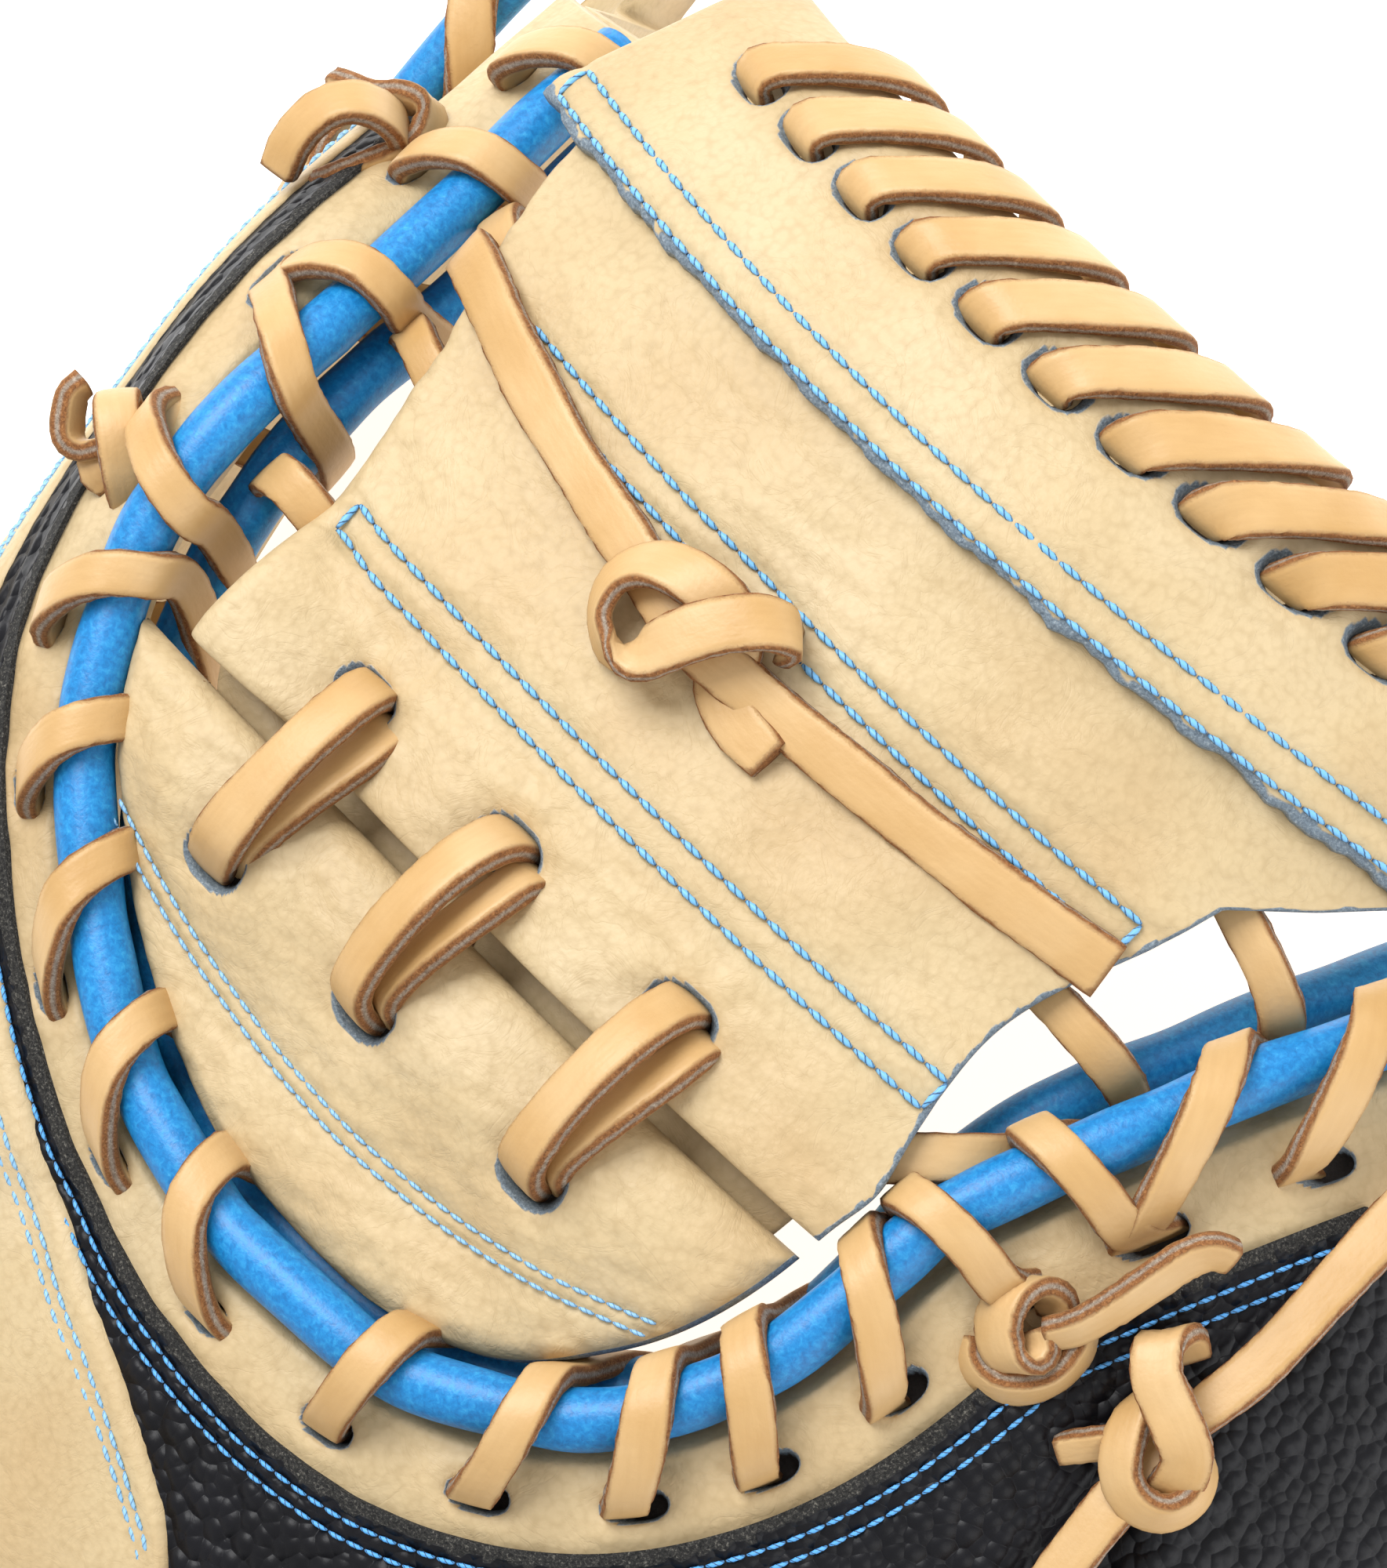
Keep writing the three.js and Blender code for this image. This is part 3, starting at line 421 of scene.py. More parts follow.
def lace_mesh(rows, sides, seed, width=LACE_WIDTH, thick=LACE_THICK, closed=False, step=1.1, round_ends=0.0):
    """A flat leather lace on a smooth path through the rows: its section carried along, its width
    and lie varied a little, its two sides roughened."""
    rows, sides = np.asarray(rows, float), np.broadcast_to(np.asarray(sides, float), (len(rows), 3))
    if closed:
        rows, sides = np.concatenate([rows[-2:], rows, rows[:3]]), np.concatenate([sides[-2:], sides, sides[:3]])
    count = max(8, int(length_of(rows) / step))
    line = curve_through(np.concatenate([rows, sides], 1), count)
    if closed:
        start = np.argmin(np.linalg.norm(line[: count // 2, :3] - rows[2], axis=1))
        end = count // 2 + np.argmin(np.linalg.norm(line[count // 2:, :3] - rows[-3], axis=1))
        line = line[start:end]
    points = line[:, :3]
    _, side, face = frames_along(points, line[:, 3:])
    along = np.concatenate([[0], np.cumsum(np.linalg.norm(np.diff(points, axis=0), axis=1))])
    wave = ripple(along, np.full_like(along, seed * 7.7), 22, 5)
    half = width / 2 * (1 + 0.045 * wave)
    if round_ends:
        half = half * (1 - round_ends * np.exp(-np.minimum(along, along[-1] - along) / 2.2))
    wide = LACE_SECTION[None, :, 0] * half[:, None]
    deep = LACE_SECTION[None, :, 1] * thick / 2
    raw = LACE_SECTION[None, :, 2] + 0 * wide
    ragged = ripple(along[:, None] * 1.0, LACE_SECTION[None, :, 1] * 3 + seed * 3.1, 1.7, 9) * 0.09 * (raw > 0.1)
    wide = wide + np.sign(wide) * ragged
    rings = points[:, None] + wide[..., None] * side[:, None] + deep[..., None] * face[:, None]
    uv = np.stack(np.broadcast_arrays(along[:, None] * MM + seed * 0.37, wide * MM + seed * 0.11), -1)
    sections = len(LACE_SECTION)
    if closed:
        return rings, quads_of(len(rings), sections, True, True), raw, uv
    first, last = rings[:1].mean(1, keepdims=True) + 0 * rings[:1], rings[-1:].mean(1, keepdims=True) + 0 * rings[-1:]
    rings = np.concatenate([first, rings, last])
    raw = np.concatenate([np.full((1, sections), 0.5), raw, np.full((1, sections), 0.5)])
    raw[[1, -2]] = np.maximum(raw[[1, -2]], 0.35)
    uv = np.concatenate([uv[:1], uv, uv[-1:]])
    return rings, quads_of(len(rings), sections, around_columns=True), raw, uv


def gathered(name, parts, material, nodes=(), slot=None):
    """Several grids, each of points, quads, raw share and UV, as one piece."""
    offset, points, quads, raws, uvs = 0, [], [], [], []
    for part in parts:
        rings, faces = part[0], part[1]
        raw, uv = (part[2], part[3]) if len(part) == 4 else (np.zeros(rings.shape[:2]), part[2])
        corner = rings.reshape(-1, 3)
        a, b, c, d = (corner[faces[:, k]] for k in range(4))
        middle = corner.mean(0)
        first_half = np.sum((a - middle) * np.cross(b - middle, c - middle))
        volume = first_half + np.sum((a - middle) * np.cross(c - middle, d - middle))
        faces = faces[:, ::-1] if volume < 0 else faces
        points.append(corner)
        quads.append(faces + offset)
        raws.append(raw.ravel())
        uvs.append(uv.reshape(-1, 2))
        offset += len(corner)
    return piece(name, np.concatenate(points), np.concatenate(quads), material, nodes,
                 cut=np.concatenate(raws), uv=np.concatenate(uvs), slot=slot)


def stitch_parts(line, up, lift=0.15, pitch=STITCH, radius=THREAD_RADIUS):
    """Sewn stitches along a fine line on a surface: each a bead of two-ply thread that rises out
    of one needle hole, bows over and sinks into the next. u runs along a stitch, v round it."""
    distance = np.concatenate([[0], np.cumsum(np.linalg.norm(np.diff(line, axis=0), axis=1))])
    count = max(1, int(round(distance[-1] / pitch)))
    rings, sides = 9, 8
    t = np.linspace(0, 1, rings)
    place = (np.arange(count)[:, None] + mix(0.03, 0.97, t)[None]) * distance[-1] / count
    at = np.stack([np.interp(place, distance, line[:, k]) for k in range(3)], -1)
    normal = unit(np.stack([np.interp(place, distance, up[:, k]) for k in range(3)], -1))
    at = at + (lift + radius * (4 * t * (1 - t)) ** 0.5 - 0.35 * radius)[None, :, None] * normal
    forward = unit(np.gradient(at, axis=1))
    side = unit(np.cross(normal, forward))
    fat = radius * np.clip(4.2 * t * (1 - t), 0.15, 1) ** 0.45
    turn = 2 * np.pi * np.arange(sides) / sides
    ply = 1 + 0.16 * np.cos(2 * (turn[None] - 2.6 * np.pi * t[:, None]))
    out = (fat[:, None] * ply)[None, ..., None]
    circle = np.cos(turn)[:, None] * side[:, :, None] + np.sin(turn)[:, None] * normal[:, :, None]
    shape = at[:, :, None] + out * circle
    cell = quads_of(rings, sides, around_columns=True)
    quads = (cell[None] + (np.arange(count) * rings * sides)[:, None, None]).reshape(-1, 4)
    ends = (np.arange(count) * rings * sides)[:, None]
    low = np.array([[0, 3, 2, 1], [0, 5, 4, 3], [0, 7, 6, 5]])
    high = (rings - 1) * sides + low[:, ::-1]
    caps = np.concatenate([low, high])[None] + ends[:, :, None]
    quads = np.concatenate([quads, caps.reshape(-1, 4)])
    spread = np.broadcast_arrays(t[None, :, None], turn[None, None] / (2 * np.pi), np.zeros((count, 1, 1)))
    uv = np.stack(spread[:2], -1)
    return shape.reshape(count * rings, sides, 3), quads, uv.reshape(count * rings, sides, 2)


# Materials

def add(tree, kind, *terms, take=0, at=None, stops=(), **rest):
    """One node, and the output taken from it. Terms fill its first sockets, at fills sockets by
    number, names with a capital are sockets and the others properties. What is given is a value or
    another node's output. Stops are a colour ramp's (place, hex colour) pairs."""
    node = tree.nodes.new("ShaderNode" + kind)
    for key, value in rest.items():
        if key[0].islower():
            setattr(node, key, value)
    sockets = {**dict(enumerate(terms)), **(at or {}), **{key: rest[key] for key in rest if key[0].isupper()}}
    for key, value in sockets.items():
        if isinstance(value, bpy.types.NodeSocket):
            tree.links.new(value, node.inputs[key])
        else:
            node.inputs[key].default_value = value
    if stops:
        elements = node.color_ramp.elements
        while len(elements) < len(stops):
            elements.new(0.5)
        for element, (place, colour) in zip(elements, stops):
            element.position = place
            element.color = linear(colour)
    return node.outputs[take]


def across(size_mm):
    """Texture scale at which a pattern's marks are about size_mm across."""
    return 1 / (size_mm * MM)


def new_finish(name, ior):
    """A new material, the function that adds its nodes, and the piece's own coordinates."""
    material = bpy.data.materials.new(name)
    material.use_nodes = True
    tree = material.node_tree
    tree.nodes["Principled BSDF"].inputs["IOR"].default_value = ior
    return material, partial(add, tree), add(tree, "TexCoord", take="Object")


def finished(material, **sockets):
    """The material with its shader's sockets given values or nodes' outputs, _ for a space."""
    tree = material.node_tree
    shader = tree.nodes["Principled BSDF"]
    for name, value in sockets.items():
        socket = shader.inputs[name.replace("_", " ")]
        if isinstance(value, bpy.types.NodeSocket):
            tree.links.new(value, socket)
        else:
            socket.default_value = value
    return material


TIMES = dict(operation="MULTIPLY")
TIMES_CLAMPED = dict(operation="MULTIPLY", use_clamp=True)
LESS = dict(operation="SUBTRACT")
PLUS = dict(operation="ADD")
TIMES_PLUS = dict(operation="MULTIPLY_ADD")
COLOURS = dict(data_type="RGBA", take=2)


def blond_cowhide():
    """Full-grain cowhide, drum dyed and milled: a soft even sheen, cream with faint cloudy
    tone changes, a fine pebble of about 1 mm broken by short creases, painted shade in the
    pebble's valleys, along the creases and in the bottoms of the lace holes, and a felty raw edge."""
    material, put, place = new_finish("blond_full_grain_cowhide", 1.47)
    cloud = put("TexNoise", Vector=place, Scale=across(30), Detail=3)
    base = put("ValToRGB", cloud, stops=[(0.3, "#c1a67b"), (0.55, "#c9b38a"), (0.75, "#cfbb96")])
    fine = put("TexNoise", Vector=place, Scale=across(2.5), Detail=3)
    base = put("Mix", at={0: put("Math", fine, 0.2, **TIMES), 6: base, 7: linear("#a98e66")}, **COLOURS)
    pebble = put("TexVoronoi", feature="SMOOTH_F1", Vector=place, Scale=across(0.95), Smoothness=0.6)
    pores = put("TexNoise", Vector=place, Scale=across(0.45), Detail=2)
    fold = put("TexNoise", Vector=place, Scale=across(7), Detail=4, Distortion=1.6, Roughness=0.62)
    from_middle = put("Math", put("Math", fold, 0.5, **LESS), operation="ABSOLUTE")
    crease = put("Math", 1.0, put("Math", from_middle, 16.0, **TIMES), use_clamp=True, **LESS)
    crease = put("Math", crease, 2.0, operation="POWER")
    # painted shade: the creases are darkened a little towards #94703f, on top of their bump
    base = put("Mix", at={0: put("Math", crease, 0.04, **TIMES), 6: base, 7: linear("#94703f")}, **COLOURS)
    # painted shade: the valleys between the pebbles are darkened towards #a1875c, on top of their bump
    valley = put("Math", put("Math", pebble, 0.42, **LESS), 2.2, **TIMES_CLAMPED)
    base = put("Mix", at={0: put("Math", valley, 0.3, **TIMES), 6: base, 7: linear("#a1875c")}, **COLOURS)
    cut = put("Attribute", attribute_name="cut", take="Fac")
    felt = put("TexNoise", Vector=place, Scale=across(0.35), Detail=5, Distortion=0.5, Roughness=0.7)
    raw = put("ValToRGB", felt, stops=[(0.3, "#4f5c68"), (0.55, "#7d8c98"), (0.75, "#b9c2c6")])
    edge = put("Math", put("Math", cut, 0.28, **LESS), 8.0, **TIMES)
    edge = put("Math", 0.0, edge, 0.05, operation="SMOOTH_MAX", use_clamp=True)
    # painted shade: where cut nears 1, at the bottoms of the lace holes, the colour goes to dark brown #2b2420
    deep = put("Math", put("Math", cut, 0.62, **LESS), 5.0, **TIMES_CLAMPED)
    colour = put("Mix", at={0: edge, 6: base, 7: raw}, **COLOURS)
    colour = put("Mix", at={0: deep, 6: colour, 7: linear("#2b2420")}, **COLOURS)
    grain = put("Math", pebble, 0.55, put("Math", pores, 0.35, **TIMES), **TIMES_PLUS)
    grain = put("Math", grain, put("Math", crease, 0.2, **TIMES), **LESS)
    frayed = put("Math", put("Math", felt, edge, **TIMES), 1.6, **TIMES)
    grain = put("Math", grain, frayed, **PLUS)
    return finished(material, Base_Color=colour, Roughness=put("Math", fine, 0.16, 0.46, **TIMES_PLUS),
                    Normal=put("Bump", Strength=0.75, Distance=0.16 * MM, Height=grain))


def rawhide_lace():
    """Oil-tanned rawhide cut into laces: a smooth waxy face, fine lengthwise stretch marks, and
    two cut sides that are rough, fibrous and stained reddish brown to grey."""
    material, put, place = new_finish("oiled_rawhide_lace", 1.48)
    streak = put("Mapping", Vector=put("UVMap", uv_map="UVMap"), Scale=(0.18, 1.0, 1.0))
    cloud = put("TexNoise", Vector=place, Scale=across(14), Detail=3)
    base = put("ValToRGB", cloud, stops=[(0.3, "#c29a61"), (0.52, "#cea974"), (0.75, "#d6b686")])
    lines = put("TexNoise", Vector=streak, Scale=across(0.8), Detail=3)
    base = put("Mix", at={0: put("Math", lines, 0.3, **TIMES), 6: base, 7: linear("#a67d49")}, **COLOURS)
    cut = put("Attribute", attribute_name="cut", take="Fac")
    fibre = put("TexNoise", Vector=place, Scale=across(0.4), Detail=5, Distortion=1.0, Roughness=0.72)
    rust = put("ValToRGB", fibre, stops=[(0.3, "#5a371c"), (0.5, "#8f5b2e"), (0.72, "#b98550")])
    core = put("ValToRGB", fibre, stops=[(0.3, "#6f5f50"), (0.5, "#9a8a79"), (0.72, "#c4b6a6")])
    inner = put("Math", cut, put("Math", fibre, 0.3, **TIMES), **PLUS)
    inner = put("Math", put("Math", inner, 0.82, **LESS), 4.0, **TIMES_CLAMPED)
    raw = put("Mix", at={0: inner, 6: rust, 7: core}, **COLOURS)
    stain = put("Math", cut, put("Math", fibre, 0.22, **TIMES), **PLUS)
    stain = put("Math", put("Math", stain, 0.26, **LESS), 4.5, **TIMES_CLAMPED)
    grain = put("TexNoise", Vector=place, Scale=across(0.7), Detail=3)
    height = put("Math", grain, 0.5, put("Math", lines, 0.4, **TIMES), **TIMES_PLUS)
    frayed = put("Math", put("Math", fibre, stain, **TIMES), 2.0, **TIMES)
    height = put("Math", height, frayed, **PLUS)
    return finished(material, Base_Color=put("Mix", at={0: stain, 6: base, 7: raw}, **COLOURS),
                    Roughness=put("Math", stain, 0.35, 0.45, **TIMES_PLUS),
                    Normal=put("Bump", Strength=0.8, Distance=0.14 * MM, Height=height))


def black_embossed_leather():
    """Black cowhide pressed with round scales 2 to 3 mm across: the meshes have them faintly, and
    the shader deepens them and adds fine pores and the charcoal felt of the raw edge."""
    material, put, place = new_finish("black_scale_embossed_cowhide", 1.5)
    cut = put("Attribute", attribute_name="cut", take="Fac")
    felt = put("TexNoise", Vector=place, Scale=across(0.35), Detail=5, Distortion=0.6, Roughness=0.75)
    raw = put("ValToRGB", felt, stops=[(0.35, "#161617"), (0.55, "#3a3937"), (0.72, "#8f8b81")])
    edge = put("Math", put("Math", cut, 0.3, **LESS), 8.0, **TIMES_CLAMPED)
    cloud = put("TexNoise", Vector=place, Scale=across(9), Detail=2)
    tone = put("ValToRGB", cloud, stops=[(0.3, "#0b0b0f"), (0.7, "#121217")])
    scale = put("TexVoronoi", feature="SMOOTH_F1", Vector=place, Scale=across(2.0), Smoothness=0.12)
    fall = put("Math", put("Math", scale, 2.0, operation="POWER"), 2.2, **TIMES)
    dome = put("Math", put("Math", 1.0, fall, **LESS), put("Math", 1.0, edge, **LESS), **TIMES)
    pores = put("TexNoise", Vector=place, Scale=across(0.4), Detail=3)
    height = put("Math", pores, 0.06, dome, **TIMES_PLUS)
    frayed = put("Math", put("Math", felt, edge, **TIMES), 0.6, **TIMES)
    height = put("Math", height, frayed, **PLUS)
    return finished(material, Base_Color=put("Mix", at={0: edge, 6: tone, 7: raw}, **COLOURS),
                    Roughness=put("Math", edge, 0.45, 0.4, **TIMES_PLUS), Specular_IOR_Level=0.22,
                    Normal=put("Bump", Strength=0.9, Distance=0.5 * MM, Height=height))


def blue_binding_leather():
    """Thin dyed calfskin rolled round a cord: bright blue, a little glossy, with a fine mottled
    grain where the dye breaks to a lighter blue."""
    material, put, place = new_finish("blue_rolled_calfskin", 1.5)
    mottle = put("TexNoise", Vector=place, Scale=across(0.8), Detail=4, Distortion=0.4, Roughness=0.65)
    base = put("ValToRGB", mottle, stops=[(0.32, "#0a6cae"), (0.5, "#0f82c8"), (0.68, "#2a9bd8"), (0.85, "#6cbce8")])
    cloud = put("TexNoise", Vector=place, Scale=across(12), Detail=2)
    base = put("Mix", at={0: put("Math", cloud, 0.3, **TIMES), 6: base, 7: linear("#0a70b0")}, **COLOURS)
    pores = put("TexNoise", Vector=place, Scale=across(0.35), Detail=2)
    height = put("Math", mottle, 0.6, put("Math", pores, 0.4, **TIMES), **TIMES_PLUS)
    return finished(material, Base_Color=base, Roughness=put("Math", mottle, 0.25, 0.3, **TIMES_PLUS),
                    Normal=put("Bump", Strength=0.7, Distance=0.12 * MM, Height=height))


def sewing_thread(name, pale, dark, line):
    """Bonded two-ply nylon thread: painted shade along a slanting line in the groove of the twist,
    and painted shade at both ends of each stitch where it goes into its needle hole."""
    material, put, _ = new_finish(name, 1.53)
    u = put("SeparateXYZ", put("UVMap", uv_map="UVMap"))
    v = u.node.outputs["Y"]
    # painted shade: the twist's slanting groove and both ends of each stitch take the dark colour
    turn = put("Math", put("Math", v, 2.0, **TIMES), put("Math", u, 2.6, **TIMES), **LESS)
    turn = put("Math", turn, operation="FRACT")
    groove = put("Math", put("Math", turn, 0.5, **LESS), operation="ABSOLUTE")
    groove = put("Math", put("Math", groove, 0.32, **LESS), line, **TIMES_CLAMPED)
    end = put("Math", put("Math", u, 0.5, **LESS), operation="ABSOLUTE")
    end = put("Math", put("Math", end, 0.4, **LESS), 9.0, **TIMES_CLAMPED)
    shade = put("Math", groove, end, operation="MAXIMUM")
    colour = put("Mix", at={0: shade, 6: linear(pale), 7: linear(dark)}, **COLOURS)
    return finished(material, Base_Color=colour, Roughness=0.5)


BLOND = blond_cowhide()
RAWHIDE = rawhide_lace()
BLACK = black_embossed_leather()
BLUE = blue_binding_leather()
# the second colour of each thread is its painted shade in the twist and at the needle holes
SKY_THREAD = sewing_thread("pale_blue_nylon_thread", "#74b7ea", "#17365c", 6.0)
PALE_THREAD = sewing_thread("thin_sky_nylon_thread", "#8cbfe6", "#3c5f86", 5.0)
BRIGHT_THREAD = sewing_thread("blue_nylon_thread", "#58a9ee", "#0c1a2c", 6.0)


# The padded body

PALM_START = 3.5
GAP = 0.35
SHELL = dict(first=2 / 32, last=30 / 32, reach=0.45)
PANEL_LAST = 18 / 32
SHELL_ROWS = (2.0, 4.1)
PANEL_ROWS = (4.2, 5.9)
# Share along the notch, width of the collar there, and how far out the black shell reaches.
EDGES = np.array([
    (0, 15, 20), (0.28, 13.5, 20), (0.33, 11.8, 15.4), (0.36, 11.2, 14.0), (0.4, 11.2, 14.0), (0.44, 11.6, 14.8),
    (0.475, 12.3, 16.8), (0.505, 13.4, 20), (0.536, 14.6, 26), (0.563, 15.4, 33), (0.6, 16, 45), (0.7, 15.6, 60),
    (0.78, 16, 60), (0.85, 17, 60), (1, 17, 60),
])
# Each turn of the lace round the notch: where its hole is, as a distance along the notch, how far
# along it leans on its way in over the binding, and 1 where it comes in between the two bindings.
WHIP_TURNS = np.array([
    (9, -4, 0), (24, -4, 0), (41, -3, 0), (43, 9, 0), (62, 6, 0), (84, -8, 0), (102, -8, 0), (123, -13, 0),
    (142, -12, 0), (160.5, -11, 0), (178, 4, 0), (194, 7, 0), (208, 7, 0), (220, 6, 0), (234, 9, 1), (252, -4, 1),
    (266, -5, 1), (268, 15, 1), (285, 12, 1),
], float)
LAST_HOLE = 297
HOLE_PLACES = np.append(WHIP_TURNS[:, 0], LAST_HOLE)


def shell_end(s):
    """Outer edge of the black shell as a share of the way to the outline."""
    beside = np.interp(s, EDGES[:, 0], EDGES[:, 2]) / body_length(s)
    return mix(mix(beside, SHELL["reach"], smooth((s - 0.55) / 0.06)), 1, smooth((s - 0.7) / 0.045))


def collar_width(s):
    return np.interp(s, EDGES[:, 0], EDGES[:, 1])


def hole_out(distance):
    """How far out from the notch the lace holes lie: nearer where the collar is narrow."""
    width = collar_width(distance / NOTCH_LENGTH)
    return width - mix(3.6, 6.6, clamp01((width - 11) / 6))


def body_grid(first, last, start, end, rows, columns, crowd=1.0):
    """(s, r) over a stretch of the horseshoe, with columns crowded towards the outer edge."""
    s = np.linspace(first, last, rows)[:, None] + np.zeros((1, columns))
    t = np.linspace(0, 1, columns)[None]
    t = mix(t, np.sin(t * np.pi / 2), crowd)
    low, high = (f(s[:, :1]) for f in (start, end))
    return s, mix(low, high, t)


def raised_grid(point, height):
    return np.concatenate([point, height[..., None]], -1)


def dent(distance, depth, width):
    """A soft groove: depth times a bell of the distance over its width."""
    return depth * np.exp(-(distance / width) ** 2)


def ovals(x, y, places, half_x, half_y):
    """Nearest of several oval holes: below 1 inside its rim."""
    best = np.full(np.broadcast(x, y).shape, 99.0)
    for hole_x, hole_y in places:
        away = np.abs((x - hole_x) / half_x) ** 2.3 + np.abs((y - hole_y) / half_y) ** 2.3
        best = np.minimum(best, away ** (1 / 2.3))
    return best


def holed(level, near, depth, lip=0.25):
    """Height sunk inside the holes and swollen a little round them, and the cut share there: 0.5
    on each hole's raw wall and 1 at its bottom, where the blond leather is painted with dark shade.
    """
    sunk = level - depth * smooth((1.06 - near) / 0.45) + lip * np.exp(-((near - 1.7) / 0.5) ** 2)
    cut = 0.5 * smooth((1.16 - near) / 0.14) + 0.5 * smooth((0.86 - near) / 0.2)
    return sunk, cut


def palm_pad():
    """The padded palm, from its leather face up to the floor of the hand hollow."""
    s, r = body_grid(0, 1, lambda q: PALM_START / body_length(q), lambda q: 1 + 0 * q, 240, 56)
    point, level = layers(s, r)
    ease = smooth((1 - r) * 6) * smooth(r * 8)
    crumple = np.maximum(ripple(point[..., 0], point[..., 1], 38, 3) * 0.7 * ease, -level["palm"])
    made = slab("palm_pad", raised_grid(point, level["floor"]), raised_grid(point, level["palm"] + crumple), BLOND,
                nodes=["palm"], slot="blond")


def black_shell():
    """Black back leather: its height with scales pressed into it, a raw edge lying on the collar,
    two sewn grooves beside that edge and a fold where the thumb bends."""
    inner = lambda q: (collar_width(q) - 0.9) / body_length(q)
    s, r = body_grid(SHELL["first"], SHELL["last"], inner, shell_end, 560, 80, 0.3)
    point, level = layers(s, r)
    distance = r * body_length(s[:, :1])
    edge = distance - collar_width(s) + 0.9
    top = level["back"] + 0.9 * np.exp(-(edge / 4.5)) + 0.35
    for row in SHELL_ROWS:
        top = top - dent(edge - 0.9 - row, 0.4, 0.8)
    fold = (point[..., 0] - 81.5) * 0.86 + (point[..., 1] - 43) * 0.5
    reach = np.exp(-(((point[..., 1] - 30) / 26) ** 4)) * smooth((distance - 25) / 14)
    top = top - dent(fold, 3.2, 4.5) * reach + dent(fold - 8, 0.9, 5) * reach
    top = top + ripple(point[..., 0], point[..., 1], 34, 11) * 0.5 * smooth((distance - 26) / 20) * smooth((1 - r) * 8)
    where = raised_grid(point, top)
    scales = cells(where, 2.7, 17)
    top = top + 0.1 * (smooth(scales / 0.42) - 1) * smooth((edge - 1.2) / 1.5)
    ragged = 0.5 * smooth((2.0 + 0.35 * ripple(point[..., 0], point[..., 1], 2.2, 5) - edge) / 0.5)
    bottom = np.minimum(level["roof"], top - 1.2)
    slab("black_shell_leather", raised_grid(point, top), raised_grid(point, bottom), BLACK, cut=ragged,
                   nodes=["black_shell"], slot="black")


def finger_panel():
    """Blond back leather over the fingers, with the soft ridges of the stalls beneath it."""
    start = lambda q: shell_end(q) - 1.0 / body_length(q)
    s, r = body_grid(SHELL["first"], PANEL_LAST, start, lambda q: 1 + 0 * q, 250, 92, 0.2)
    point, level = layers(s, r)
    edge = (r - r[:, :1]) * body_length(s[:, :1])
    top = level["back"] + 1.5 * np.exp(-(edge / 7)) - 1.6 * np.exp(-(edge / 0.8)) + 0.35
    for row in PANEL_ROWS:
        top = top - dent(edge - row, 0.35, 0.6)
    ridges = np.cos(2 * np.pi * 4.5 * (s - SHELL["first"]) / (PANEL_LAST - SHELL["first"]))
    top = top + 1.1 * ridges * smooth((edge - 12) / 20) * smooth((1 - r) * 5)
    top = top + ripple(point[..., 0], point[..., 1], 30, 23) * 0.45 * smooth(edge / 10) * smooth((1 - r) * 8)
    bottom = np.minimum(level["roof"], top - 1.2)
    slab("finger_back_panel", raised_grid(point, top), raised_grid(point, bottom), BLOND,
                   nodes=["finger_panel"], slot="blond")


def collar():
    """Welt round the notch: a plump band that dips under the binding, with the lace holes."""
    rows, columns = 660, 34
    s = np.linspace(0, 1, rows)[:, None] + np.zeros((1, columns))
    distance = 1.2 + (collar_width(s) - 1.2) * np.linspace(0, 1, columns)[None]
    at, _, away = notch_frame(s)
    point = at + distance[..., None] * away
    near = ovals(s * NOTCH_LENGTH, distance, [(place, hole_out(place) + 0.2) for place in HOLE_PLACES], 2.9, 1.9)
    puff = 0.5 * np.sin(np.pi * clamp01((distance - 4) / (collar_width(s) - 4)))
    pull = np.exp(-np.abs(s[..., None] * NOTCH_LENGTH - HOLE_PLACES).min(-1) ** 2 / 18)
    top = back_height(point[..., 0], point[..., 1]) - 0.2 + puff - 0.55 * pull * np.exp(-((distance - 7) / 3.4) ** 2)
    top = top - 4.5 * (1 - smooth((distance - 1.2) / 4.2)) + 0.16 * ripple(point[..., 0], point[..., 1], 7, 31)
    top, cut = holed(top, near, 3.4)
    bottom = np.minimum(top - 0.4, back_height(point[..., 0], point[..., 1]) - 3.4)
    slab("web_collar_welt", raised_grid(point, top), raised_grid(point, bottom), BLOND, cut=cut, cut_below=0 * cut,
         nodes=["web_collar"], slot="blond")


# Bindings and the laces whipped over them

def binding(name, node, inset, rise, seed):
    """A rolled binding along the notch, drawn in a little under each turn of lace."""
    count = 340
    s = np.linspace(0.004, 0.996, count)
    at, _, away = notch_frame(s)
    wave = 0.25 * ripple(s * NOTCH_LENGTH, 0 * s, 26, seed)
    plan = at - (inset(s) + wave)[:, None] * away
    points = np.concatenate([plan, (back_height(at[:, 0], at[:, 1]) + rise)[:, None]], 1)
    crossing = WHIP_TURNS[:, 0] + 0.45 * WHIP_TURNS[:, 1]
    pinch = np.exp(-np.abs(s[:, None] * NOTCH_LENGTH - crossing).min(-1) ** 2 / 14)
    rings, quads, uv = tube_mesh(points, BINDING_RADIUS * (1.03 - 0.06 * pinch), 24)
    piece(name, rings, quads, BLUE, [node], uv=uv, slot="blue")


# One turn: out from the notch, up over the back, and share of the lean; then out where it comes
# in between the bindings.
def palm_inset(s):
    """How far in from the notch the palm side binding lies: close under the crotch piece and
    further in on the thumb side."""
    return mix(3.4, 8.2, smooth((s - 0.72) / 0.16)) - 2.0 * np.exp(-((s - 0.48) / 0.15) ** 4)


WHIP_WIDTH = 5.2
WHIP_TURN = np.array([
    (9.8, -6, -0.3, 9.8), (9.5, 0.5, 0, 9.5), (5.2, 4.6, 0.35, 5.2), (0, 6.1, 0.68, 0), (-4.2, 3.4, 0.92, -4.2),
    (-4.9, -2.6, 1, -4.4), (-6.4, -12, 1, -3.2), (-4, -20, 1, -1), (9.8, -20.6, 1, 9.8),
])


